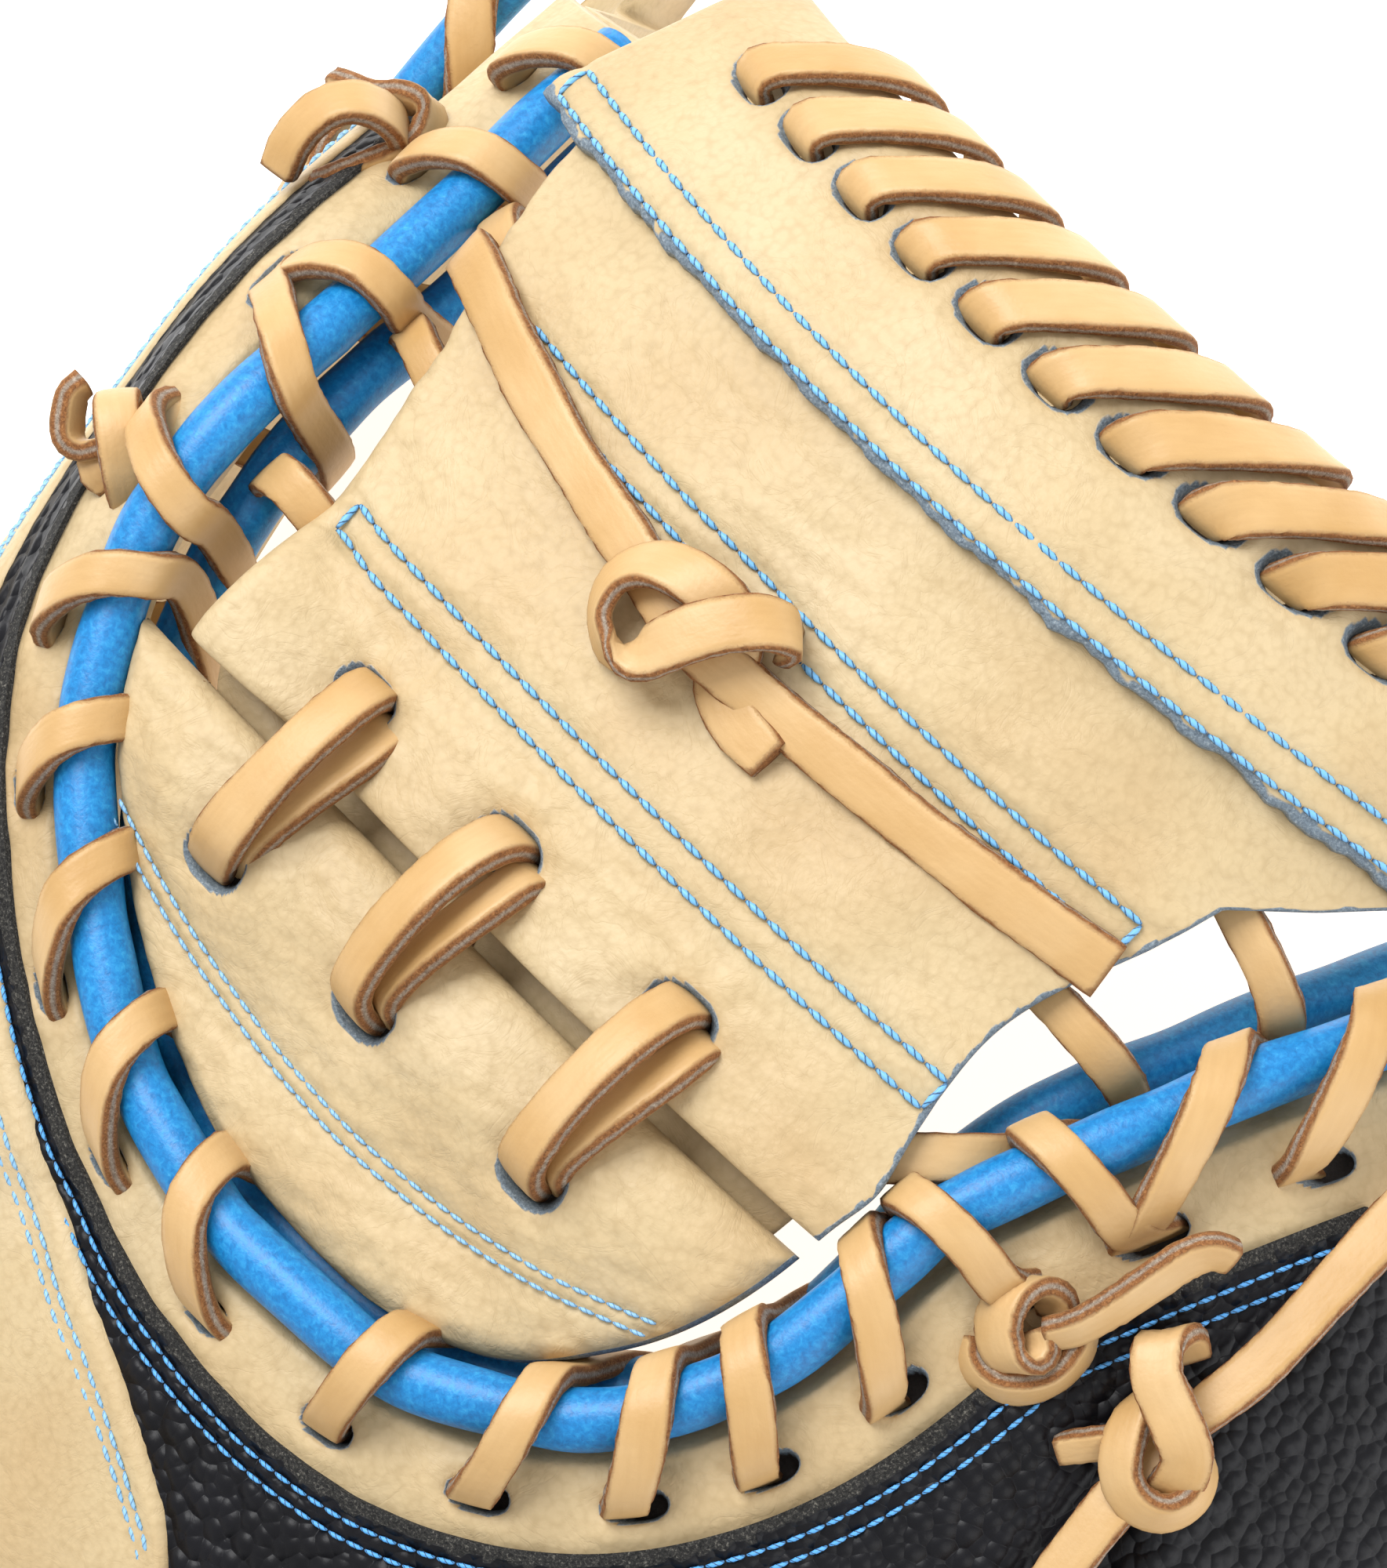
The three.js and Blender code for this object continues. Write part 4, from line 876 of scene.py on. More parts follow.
def notch_place(distance, out, up):
    """Point at a distance along the notch, out from it and up over the back there, the rise taken
    square to the back where it is above it; and the direction along the notch in space."""
    at, along, away = notch_frame(distance / NOTCH_LENGTH)
    slope = (back_height(*(at + along).T) - back_height(*(at - along).T)) / 2
    falling = unit(np.concatenate([along, slope[:, None]], 1))
    normal = unit(np.cross(falling, np.concatenate([away, 0 * slope[:, None]], 1)))
    normal = normal * np.sign(normal[:, 2:])
    base = np.concatenate([at + out[:, None] * away, back_height(at[:, 0], at[:, 1])[:, None]], 1)
    rise = np.where((up > 0)[:, None], normal, np.array([0.0, 0.0, 1.0]))
    return base + up[:, None] * rise, falling


# Short runs of the same lace from under the web's edge to the bindings: from, to, and fall.
EDGE_LACES = [
    (-57.5, 87.5, -66.5, 90.5, -1), (-53.5, 73.2, -62.5, 75.5, -1), (-50, 54.5, -58, 55.6, -1.5),
    (-48, 30, -55, 28, -2),
    (47.5, 71.8, 59.5, 70.2, -1), (54.5, 91.5, 66, 86.0, -1), (47, 46.2, 57, 56, -1.5),
]


def whip_lace():
    """One lace round and round: up through the collar, over the binding and back below, with the
    short runs that tie the web's edges to the bindings."""
    turns = len(WHIP_TURNS)
    hole, lead, between = np.repeat(WHIP_TURNS, len(WHIP_TURN), axis=0).T
    following = np.repeat(HOLE_PLACES[1:], len(WHIP_TURN))
    out, up, share, inner = np.tile(WHIP_TURN, (turns, 1)).T
    back = clamp01((np.tile(np.arange(len(WHIP_TURN)), turns) - 5) / (len(WHIP_TURN) - 6))
    shift = 1 + (hole_out(hole) - 9.8) * clamp01(out / 9.8) / np.maximum(out, 1)
    points, sides = notch_place(mix(hole + lead * share, following, back), mix(out * shift, inner, between), up)
    parts = [lace_mesh(points, sides, 1, width=WHIP_WIDTH, thick=2.4, step=1.05)]
    for k, (from_x, from_y, to_x, to_y, low) in enumerate(EDGE_LACES):
        run = np.array([to_x - from_x, to_y - from_y])
        t = np.array([-0.45, -0.15, 0.2, 0.6, 0.95, 1.2])
        level = np.array([-1.6, -1.2, 0.2, 0.9, -0.8, -5.0]) + mix(0, low, t)
        place = web_point(from_x + run[0] * t, from_y + run[1] * t, level)
        parts.append(lace_mesh(place, (-run[1], run[0], 0), 51 + k, width=WHIP_WIDTH))
    gathered("notch_whip_lace", parts, RAWHIDE, ["notch_lace"], slot="lace")


RIM_TURNS = 23


def rim_point(s, out, height):
    """Point outside the outline, square to it, at a height."""
    run = unit(outline_point(s + 0.001) - outline_point(s - 0.001))
    plan = outline_point(s) + np.asarray(out)[..., None] * np.stack([run[..., 1], -run[..., 0]], -1)
    return np.concatenate([plan, np.broadcast_to(height, s.shape)[..., None]], -1)


def rim():
    """The rolled binding round the rim with its lace wound over it."""
    s = np.linspace(0.012, 0.988, 420)
    rings, quads, uv = tube_mesh(rim_point(s, RIM_OUT + 0 * s, SEAM), RIM_RADIUS, 20)
    piece("rim_rolled_binding", rings, quads, BLUE, ["rim_binding"], uv=uv, slot="blue")
    steps = 10
    k = np.arange(RIM_TURNS * steps + 1)
    s = mix(0.022, 0.978, k / (RIM_TURNS * steps))
    turn = 2 * np.pi * (k + 1) / steps
    reach = (RIM_RADIUS + LACE_THICK / 2 + 0.5) / np.cos(np.pi / steps)
    points = rim_point(s, RIM_OUT + reach * np.cos(turn), SEAM + reach * np.sin(turn))
    sides = rim_point(s + 0.002, RIM_OUT + 0 * s, SEAM) - rim_point(s, RIM_OUT + 0 * s, SEAM)
    rings, quads, raw, uv = lace_mesh(points, unit(sides), 2)
    piece("rim_whip_lace", rings, quads, RAWHIDE, ["rim_lace"], cut=raw, uv=uv, slot="lace")


# The web

MAIN_SIDES = np.array([
    (36, 50, 49.4), (56, 50.5, 49.5), (76, 54.5, 51), (90, 60, 53.5), (96, 61.5, 60), (101.5, 62, 65), (124, 60, 60),
])
SPIRAL = dict(turns=10, first=-49.5, pitch=10.4, lead=13, y=119)
SPIRAL_TURN = [
    (119, -6, 0), (118.8, 7.0, 0), (122.5, 8.0, 0.3), (127.4, 7.0, 0.75), (130.4, 3.6, 0.95), (130.9, -0.6, 1),
    (129.2, -5.4, 1), (119, -8.4, 1),
]
SPIRAL_PLACES = SPIRAL["first"] + SPIRAL["pitch"] * np.arange(SPIRAL["turns"] + 1)
JOINING_X = (-29.8, -4.8, 22.4)
MAIN_HOLE_Y = 44.2
CROTCH_HOLE_Y = 20.6
THIRD_ROW = (55.8, 0.0)
SECOND_ROW = (82.5, -0.02)
ROW_HALF = 1.9


def across_grid(left, right, columns, crowd=0.5):
    """x across a web piece between its left and right half widths, crowded to both ends."""
    t = np.linspace(0, 1, columns)
    t = mix(t, (1 - np.cos(np.pi * t)) / 2, crowd)[None]
    return mix(-left[:, None], right[:, None], t)


def rounded(distance, radius):
    """Drop of a rounded edge: radius less the root of radius squared less (radius - distance)
    squared."""
    inside = clamp01(distance / radius)
    return radius * (1 - np.sqrt(1 - (1 - inside) ** 2))


def row_distance(x, y, row):
    """Distance in y from a sewn row given by its y at x = 0 and its slope."""
    return y - row[0] - row[1] * x


def web_main():
    """The main panel: two sewn double rows sink into it, soft rolls stand between them, the lace
    holes pucker the leather round them, and the right edge is cut raw."""
    y = np.concatenate([36.4 + np.array([0, 0.15, 0.5, 1.1, 1.9]), np.linspace(39.2, 124, 150)])
    left, right = (np.interp(y, MAIN_SIDES[:, 0], MAIN_SIDES[:, k]) for k in (1, 2))
    right = right - 3.2 * np.exp(-((y - 66) / 12) ** 2) + 1.2 * np.exp(-((y - 44) / 5) ** 2)
    x = across_grid(left, right, 168)
    yy = y[:, None] + 0 * x
    thin = smooth((yy - 80) / 20)
    top = mix(4.0, 3.1, thin)
    from_left, from_right, from_low = x + left[:, None], right[:, None] - x, yy - 36.4
    for row in (THIRD_ROW, SECOND_ROW):
        away = row_distance(x, yy, row)
        for side in (-ROW_HALF, ROW_HALF):
            top = top - dent(away - side, 0.4, 0.8)
        top = top - dent(away, 0.35, 5.0)
    hole_near = ovals(x, yy, [(hole, MAIN_HOLE_Y) for hole in JOINING_X], 4.4, 3.0)
    for hole in JOINING_X:
        turn = np.arctan2(yy - MAIN_HOLE_Y, x - hole)
        away = np.hypot(x - hole, yy - MAIN_HOLE_Y)
        top = top + 0.22 * np.cos(7 * turn + hole) * np.exp(-((away - 6) / 3.2) ** 2) * smooth((away - 3) / 2)
        top = top - 0.9 * np.exp(-((away - 2) / 6.5) ** 2)
    top = top + 0.28 * ripple(x, yy, 19, 41) + 0.10 * ripple(x * 0.5, yy * 1.4, 5.5, 43)
    slack = np.exp(-((from_left - 5) / 8) ** 2)
    top = top + 0.25 * np.cos(yy / 1.7 + x * 0.2) * slack * np.exp(-((yy - 60) / 16) ** 2)
    top = top - rounded(from_left, 2.4) * (1 - thin) - 0.6 * rounded(from_low, 2.2) - rounded(from_right, 0.5)
    top, cut = holed(top, hole_near, 3.6, 0.3)
    torn = 0.25 * ripple(yy, x * 0, 3.0, 7)
    cut = np.maximum(cut, 0.5 * smooth((0.8 + torn - from_right) / 0.35))
    bottom = mix(-1.0, 0.2, thin) + rounded(from_left, 2.0) * (1 - thin) + 0.6 * rounded(from_low, 2.0)
    bottom = np.minimum(bottom, top - 0.3)
    slab("web_main_panel", web_point(x, yy, top), web_point(x, yy, bottom), BLOND, cut=cut,
         cut_below=0.5 * smooth((0.8 - from_right) / 0.35), nodes=["web_main"], slot="blond")


def web_front():
    """The panel on the palm side, seen through the gap."""
    y = np.linspace(3, 124, 80)
    left = np.minimum(notch_half(y, FINGER_SIDE, 13.4), 60)
    beside = np.interp(y, MAIN_SIDES[:, 0], MAIN_SIDES[:, 2]) - 3.5
    right = np.minimum(notch_half(y, THUMB_SIDE, 11), beside)
    x = across_grid(left, right, 60)
    yy = y[:, None] + 0 * x
    top = mix(-8.4, -0.5, smooth((yy - 76) / 24)) + 0.2 * ripple(x, yy, 22, 51) * smooth((100 - yy) / 10)
    top = top + 4.2 * np.exp(-((yy - 35) / 7) ** 2)
    slab("web_front_panel", web_point(x, yy, top), web_point(x, yy, top - 2), BLOND, nodes=["web_front"], slot="blond")


def crotch_row(x):
    """The sewn double row of the crotch piece: a shallow bow that climbs to both ends."""
    return 8.2 + np.where(x < 0, 0.0041, 0.0047) * x ** 2


def crotch_level(y):
    """Level of the crotch piece's face to the web's middle surface: it sinks towards the binding."""
    return mix(-1.8, 2.2, smooth((y + 2) / 26))


CROTCH_INSET = 3.8
CROTCH_ROW_HALF = 0.9


def web_crotch():
    """The padded piece in the bottom of the notch, with a sewn row and three lace holes."""
    low = NOTCH["middle"] - NOTCH["depth"] + CROTCH_INSET + 0.15
    low_edge, high_edge = low + np.array([0, 0.12, 0.4, 0.9]), 33.4 - np.array([1.2, 0.6, 0.2, 0])
    y = np.concatenate([low_edge, np.linspace(low + 1.7, 31.6, 80), high_edge])
    left = notch_half(y, FINGER_SIDE, CROTCH_INSET)
    right = notch_half(y, THUMB_SIDE, CROTCH_INSET) - 3.4 * smooth((y - low) / 16)
    x = across_grid(left, right, 196)
    yy = y[:, None] + 0 * x
    top = crotch_level(yy)
    from_side = np.minimum(x + left[:, None], right[:, None] - x)
    bulge = 1.5 * np.exp(-((yy - 24) / 7) ** 2) * smooth(from_side / 14)
    bulge = bulge + 1.3 * np.exp(-((yy - 1) / 5) ** 2) * smooth(from_side / 8)
    away = yy - crotch_row(x)
    for side in (-CROTCH_ROW_HALF, CROTCH_ROW_HALF):
        top = top - dent(away - side, 0.3, 0.6)
    top = top + bulge - dent(away, 0.5, 3.6)
    near = ovals(x, yy, [(hole, CROTCH_HOLE_Y) for hole in JOINING_X], 4.2, 3.4)
    for hole in JOINING_X:
        away = np.hypot(x - hole, yy - CROTCH_HOLE_Y)
        top = top - 0.8 * np.exp(-((away - 2) / 6) ** 2)
    top = top + 0.25 * ripple(x, yy, 16, 61) + 0.09 * ripple(x, yy * 1.6, 5, 63)
    edge = np.minimum(np.minimum(yy - low, 33.4 - yy), from_side)
    top = top - rounded(edge, 3.6) * 0.8
    top, cut = holed(top, near, 3.4, 0.3)
    cut = np.maximum(cut, 0.5 * smooth((0.9 - (right[:, None] - x)) / 0.4))
    bottom = np.minimum(mix(-3.6, 2.2, smooth((yy - 2) / 26)) - 4.4 + rounded(edge, 1.6) * 0.6, top - 0.3)
    slab("web_crotch_piece", web_point(x, yy, top), web_point(x, yy, bottom), BLOND, cut=cut, cut_below=0 * cut,
         nodes=["web_crotch"], slot="blond")


FOLD_PATH = [(101.5, 6.4), (107, 6.4), (113, 6.4), (124, 6.4), (127.8, 4.6), (128.8, 0.4), (127.6, -4.2), (122.8, -6.3)]
FOLD_THICK = 2.55
FOLD_LEVEL = 6.4
FOLD_ROW = (104.4, 0.0)


def web_fold():
    """The strip folded over the top rim: one path from its raw edge over to the palm side, with
    the sewn row beside that edge and a hole for each turn of the lace."""
    path = curve_through([(y, level, 0) for y, level in FOLD_PATH], 74)[:, :2]
    run = unit(np.gradient(path, axis=0))
    inner = path + FOLD_THICK * np.stack([run[:, 1], -run[:, 0]], -1)
    narrow = clamp01((path[:, 0] - 101.5) / 27)
    x = across_grid(mix(70, 60, narrow), mix(67, 61, narrow), 210, 0.3)
    travelled = np.concatenate([[0], np.cumsum(np.linalg.norm(np.diff(path, axis=0), axis=1))])[:, None] + 0 * x
    y, level = path[:, :1] + 0 * x, path[:, 1:] + 0 * x
    ragged = 0.22 * ripple(x, 0 * x, 2.4, 71) + 0.25 * ripple(x, 0 * x, 9, 72)
    first = np.exp(-travelled / 1.5)
    y = y - ragged * first
    level = level - 1.0 * np.exp(-travelled / 0.6) + 0.22 * ripple(x, travelled, 17, 73) * smooth(travelled / 6)
    for side in (-ROW_HALF, ROW_HALF):
        level = level - dent(travelled - (FOLD_ROW[0] - 101.5) - side, 0.35, 0.8)
    from_end = np.minimum(x - x[:, :1], x[:, -1:] - x)
    level = level - rounded(from_end, 1.0)
    near = ovals(x, travelled, [(hole, SPIRAL["y"] - 101.5) for hole in SPIRAL_PLACES], 4.0, 2.4)
    level = level - 0.5 * np.exp(-((near - 0.6) / 1.1) ** 2)
    level, cut = holed(level, near, 2.2, 0.25)
    cut = np.maximum(cut, 0.5 * smooth((1.25 + 0.4 * ripple(x, 0 * x, 3.5, 75) - travelled) / 0.5))
    cut = np.maximum(cut, 0.5 * smooth((0.5 - from_end) / 0.3))
    low_y, low_level = inner[:, :1] + 0 * x - ragged * first, inner[:, 1:] + 0 * x
    slab("web_top_fold", web_point(x, y, level), web_point(x, low_y, low_level), BLOND, cut=cut,
         cut_below=0.5 * smooth((1.0 - travelled) / 0.4), nodes=["web_fold"], slot="blond")


def spiral_lace():
    """The lace wound over the top rim through both faces of the fold."""
    turn = np.array(SPIRAL_TURN, float)
    y, level, share = np.tile(turn, (SPIRAL["turns"], 1)).T
    hole = np.repeat(SPIRAL_PLACES[:-1], len(turn))
    back = clamp01((np.tile(np.arange(len(turn)), SPIRAL["turns"]) - 5) / (len(turn) - 6))
    x = mix(hole + SPIRAL["lead"] * share, hole + SPIRAL["pitch"], back)
    slope = (web_height(x + 1, y) - web_height(x - 1, y)) / 2
    sides = unit(np.stack([np.ones_like(x), 0 * x, slope], -1))
    rings, quads, raw, uv = lace_mesh(web_point(x, y, level), sides, 3)
    piece("top_spiral_lace", rings, quads, RAWHIDE, ["web_rim_lace"], cut=raw, uv=uv, slot="lace")


JOINING_TURN = [
    (-0.6, 44.6, -3), (-0.6, 45.0, 4.0), (-0.9, 42.0, 7.6), (-1.2, 36, 9.8), (-1.4, 28, 9.2), (-1.2, 21.6, 6.0),
    (-0.8, 20.2, -3.6), (-0.6, 27, -5.4), (-0.6, 37, -5.2),
]
SECOND_STRAND = [
    (3.2, 43.6, -2.5), (4.0, 43.0, 3.2), (4.0, 39.8, 5.2), (3.2, 35, 6.0), (2.0, 29, 5.6), (1.0, 23.6, 3.4),
    (0.8, 21.2, -3),
]


def over_the_gap(hole, rows):
    """Points beside the straight line between a crotch hole and the main hole above it: shift
    across, y along it and height above it, all in one flat frame."""
    shift, y, level = np.array(rows, float).T
    low, high = (web_point(hole, place, 0.0) for place in (CROTCH_HOLE_Y, MAIN_HOLE_Y))
    along = (high - low) / (MAIN_HOLE_Y - CROTCH_HOLE_Y)
    middle = (CROTCH_HOLE_Y + MAIN_HOLE_Y) / 2
    away = unit(web_point(hole, middle, 1.0) - web_point(hole, middle, 0.0))
    across = unit(np.cross(along, away))
    at = low + (y - CROTCH_HOLE_Y)[:, None] * along + shift[:, None] * across + level[:, None] * away
    return at, across, away


def joining_loops():
    """Three loops of lace between the main panel and the crotch piece, two strands in each."""
    for k, x in enumerate(JOINING_X):
        points, across, away = over_the_gap(x, JOINING_TURN)
        upper = lace_mesh(points, across + 0.42 * away, 11 + 2 * k, closed=True, thick=2.4)
        points, across, away = over_the_gap(x, SECOND_STRAND)
        lower = lace_mesh(points, 0.9 * across + 0.5 * away, 23 + 2 * k, width=5.4, thick=2.4)
        gathered("joining_loop_%d_lace" % (k + 1), [upper, lower], RAWHIDE, ["joining_loop_%d" % (k + 1)], slot="lace")


CROSS_LEFT = [
    (-57.5, 85.2, -4.2), (-60.8, 85.2, -1), (-60.4, 85.1, 3.8), (-57, 84.8, 5.2), (-46.4, 82.2, 5.2),
    (-34.8, 79.6, 5.2),
    (-24, 77.6, 5.4), (-15.6, 76.2, 6.4), (-9.6, 74.8, 7.4), (-4, 74.2, 7), (4.6, 74.6, 5.6), (16.2, 75.2, 5.1),
    (28.3, 75.8, 5.1), (39.8, 76.5, 5.1), (50.2, 77.3, 4.8),
]
CROSS_KNOT = [
    (2.6, 81.0, 5.2, 0.3, 0.2, 0.9), (2.6, 82.6, 8.4, 0.8, -0.5, 0.3), (0.3, 81.2, 11.0, 0.9, -0.4, 0.0),
    (-2.7, 77.2, 12.0, 0.9, -0.3, 0.0), (-5.0, 72.4, 11.6, 0.9, -0.3, 0.1), (-7.2, 68.2, 9.6, 0.7, -0.3, 0.5),
    (-10.6, 66.4, 8.4, 0.2, 0.5, 0.8), (-14.2, 68.4, 8.2, 0.5, 0.2, 0.8), (-15.8, 72.6, 8.6, 0.6, 0, 0.7),
    (-13.8, 76.8, 9.6, 0.4, -0.5, 0.6), (-9.4, 79.2, 10.4, 0.1, -0.8, 0.4), (-4.6, 79.6, 9.4, -0.2, -0.9, 0.2),
    (-1.6, 77.4, 7.2, -0.7, -0.5, 0.2), (-0.6, 73.6, 5.2, -0.9, 0, 0), (3.4, 71.0, 5.0, -0.5, -0.9, 0),
    (9.8, 70.2, 5.0, -0.1, -1, 0),
]


def cross_lace():
    """The long lace across the web, wrapped round both edges of the main panel, and the knot that
    its tail is tied in about it."""
    x, y, level = np.array(CROSS_LEFT, float).T
    long = lace_mesh(web_point(x, y, level), (0.0, 1.0, 0.0), 31, width=6.3)
    rows = np.array(CROSS_KNOT, float)
    tied = lace_mesh(web_point(*rows[:, :3].T), rows[:, 3:], 32, width=6.4, round_ends=0.15)
    gathered("cross_lace_knotted", [long, tied], RAWHIDE, ["cross_lace"], slot="lace")


# Directions that the knots are drawn in, as the photograph shows them: to its right, up it and
# towards the eye.
def picture_frame():
    across, up = np.sin(np.radians([CAMERA_TURN, CAMERA_TILT]))
    towards = np.array([across, up, np.sqrt(1 - across ** 2 - up ** 2)])
    right = unit(np.cross(-towards, [0, 1, 0]))
    upright = np.cross(right, -towards)
    turned = np.cos(CAMERA_ROLL) * right + np.sin(CAMERA_ROLL) * upright
    return np.array([turned, np.cross(towards, turned), towards])


def strand(place, rows, seed, width=5.4, thick=2.3, shift=0.0):
    """A lace through rows of right, up and towards, then its width's direction in the same terms,
    about a place on the back; shift moves it across its width."""
    rows = np.array(rows, float)
    frame_axes = picture_frame()
    sides = unit(rows[:, 3:] @ frame_axes)
    points = on_back(place[0], place[1], 0.0) + rows[:, :3] @ frame_axes - shift * sides
    return lace_mesh(points, sides, seed, width=width, thick=thick, step=0.7, round_ends=0.15)


def tail(rows, side, seed, width=5.6):
    x, y, level = np.array(rows, float).T
    return lace_mesh(on_back(x, y, level), side, seed, width=width, round_ends=0.2)


KNOT_PLACES = dict(thumb=(87.1, 43.3), notch=(71.7, 44.2), high=(-86.7, 85.7), low=(-75.9, 44.6))


def knots():
    """Four overhand knots where the laces end, each a wrap or two of lace with its tails."""
    place = KNOT_PLACES["thumb"]
    gathered("thumb_lace_knot", [
        strand(place, [
            (3.4, 8.6, 1.0, 1, 0.2, 0), (2.4, 10.4, 3.6, 1, 0.3, 0.1), (-0.2, 9.8, 6.2, 1, 0.1, 0.1),
            (-0.5, 6.7, 7.2, 0.95, 0.2, 0.2), (0.7, 3.7, 7.6, 0.9, 0.4, 0.2), (2.0, 0.5, 7.8, 0.9, 0.4, 0.1),
            (2.8, -2.1, 7.0, 0.95, 0.1, 0.1), (2.0, -4.8, 5.4, 0.9, -0.3, 0.1), (0.6, -6.0, 2.6, 0.9, -0.2, 0.1),
        ], 41, width=6.0),
        strand(place, [
            (-0.6, 4.6, 3.2, 0.7, 0.5, 0.5), (-2.8, 2.0, 4.6, 0.8, 0.3, 0.5), (-4.2, -1.6, 5.4, 0.85, 0, 0.55),
            (-4.1, -5.0, 5.4, 0.7, 0.3, 0.6), (-2.2, -7.6, 5.2, 0.4, 0.6, 0.7), (0.8, -8.4, 5.0, 0.1, 0.6, 0.8),
            (3.6, -6.9, 4.6, -0.2, 0.5, 0.85), (4.6, -4.2, 4.0, -0.4, 0.2, 0.85), (3.8, -1.6, 3.0, -0.4, 0, 0.85),
        ], 42, width=5.0),
        strand(place, [
            (-3.0, -0.4, 3.6, 0.1, 0.85, 0.5), (-7.2, -1.0, 3.0, 0.1, 0.85, 0.5), (-11.0, -1.6, 1.6, 0.2, 0.8, 0.5),
        ], 43, width=3.8),
        tail([(87.6, 46, 3), (88, 55, 4.2), (87, 68, 4.4), (85.5, 81, 5), (84, 94, 6)], (1, 0.1, 0), 44),
        tail([(87.5, 43.5, 2.6), (88, 36, 3.0), (89, 26, 2.6), (90, 16, 2.8), (90, 6, 2.8)], (1, 0.1, 0), 45),
    ], RAWHIDE, ["thumb_knot"], slot="lace")
    place = KNOT_PLACES["notch"]
    gathered("notch_lace_knot", [
        strand(place, [
            (3.9, 1.6, 2.6, 0.75, 0, 0.65), (3.5, 3.6, 3.6, 0.75, 0, 0.65), (1.5, 4.7, 4.4, 0.75, 0, 0.65),
            (-0.8, 4.1, 5.0, 0.75, 0, 0.65), (-2.4, 2.0, 5.2, 0.75, 0, 0.65), (-2.6, -0.8, 5.2, 0.75, 0, 0.65),
            (-1.3, -3.0, 5.0, 0.75, 0, 0.65), (0.8, -3.2, 4.6, 0.75, 0, 0.65), (1.8, -1.6, 4.4, 0.75, 0, 0.65),
            (1.2, 0.2, 4.4, 0.7, 0, 0.7),
        ], 46, shift=2.4),
        strand(place, [
            (-6.4, -0.6, 1.6, 0.4, 0.2, 0.9), (-6.6, -3.0, 2.0, 0.4, 0.3, 0.9), (-4.6, -5.1, 2.4, 0.3, 0.4, 0.9),
            (-1.6, -5.5, 2.8, 0.1, 0.5, 0.85), (1.6, -4.5, 3.0, -0.1, 0.4, 0.9), (3.9, -1.8, 3.0, -0.3, 0.3, 0.9),
            (4.6, 0.6, 2.8, -0.3, 0.1, 0.9),
        ], 47, width=4.6, shift=1.8),
        strand(place, [
            (0.4, 0.4, 4.4, -0.35, 0.6, 0.7), (3.5, 1.2, 5.4, -0.35, 0.6, 0.7), (7.7, 3.5, 5.6, -0.35, 0.6, 0.7),
            (11.9, 6.3, 5.6, -0.35, 0.6, 0.7), (16.0, 8.9, 5.6, -0.3, 0.65, 0.7), (18.8, 9.5, 5.0, 0, 0.7, 0.7),
            (21.2, 8.9, 4.0, 0.2, 0.7, 0.7),
        ], 48, width=4.6, shift=1.2),
    ], RAWHIDE, ["notch_knot"], slot="lace")
    place = KNOT_PLACES["high"]
    gathered("finger_lace_knot_high", [
        strand(place, [
            (-11.4, -4.4, 5.0, 0.8, -0.2, 0.55), (-10.0, -1.4, 6.8, 0.7, -0.4, 0.55),
            (-7.9, 1.1, 8.2, 0.6, -0.55, 0.55),
            (-5.3, 2.8, 9.0, 0.45, -0.7, 0.55), (-2.5, 3.3, 9.0, 0.2, -0.8, 0.55), (0, 2.6, 8.0, 0.1, -0.8, 0.55),
            (1.9, 1.2, 6.0, 0, -0.8, 0.6), (2.6, -0.6, 3.2, 0, -0.8, 0.6),
        ], 49),
        strand(place, [
            (-4.6, 6.9, 2.0, 0.1, 0.5, 0.85), (-3.2, 6.4, 3.4, 0.1, 0.5, 0.85), (-0.6, 5.4, 4.8, 0, 0.5, 0.85),
            (2.6, 5.2, 5.2, -0.2, 0.4, 0.85), (4.6, 4.0, 5.2, -0.4, 0.3, 0.85), (5.0, 1.9, 5.0, -0.4, 0.4, 0.85),
            (4.1, 0.0, 5.0, -0.3, 0.5, 0.8), (1.8, -1.4, 5.0, -0.2, 0.6, 0.8), (-0.9, -2.5, 5.0, -0.1, 0.6, 0.8),
            (-3.5, -3.6, 4.6, 0, 0.6, 0.8), (-5.6, -4.9, 3.2, 0.2, 0.5, 0.8), (-5.2, -5.6, 0.8, 0.3, 0.4, 0.8),
            (-2.4, -4.2, 0.0, 0.2, 0.5, 0.8), (0.5, -2.0, 0.2, 0.2, 0.5, 0.8),
        ], 50, shift=2.4),
    ], RAWHIDE, ["finger_knot_high"], slot="lace")
    place = KNOT_PLACES["low"]
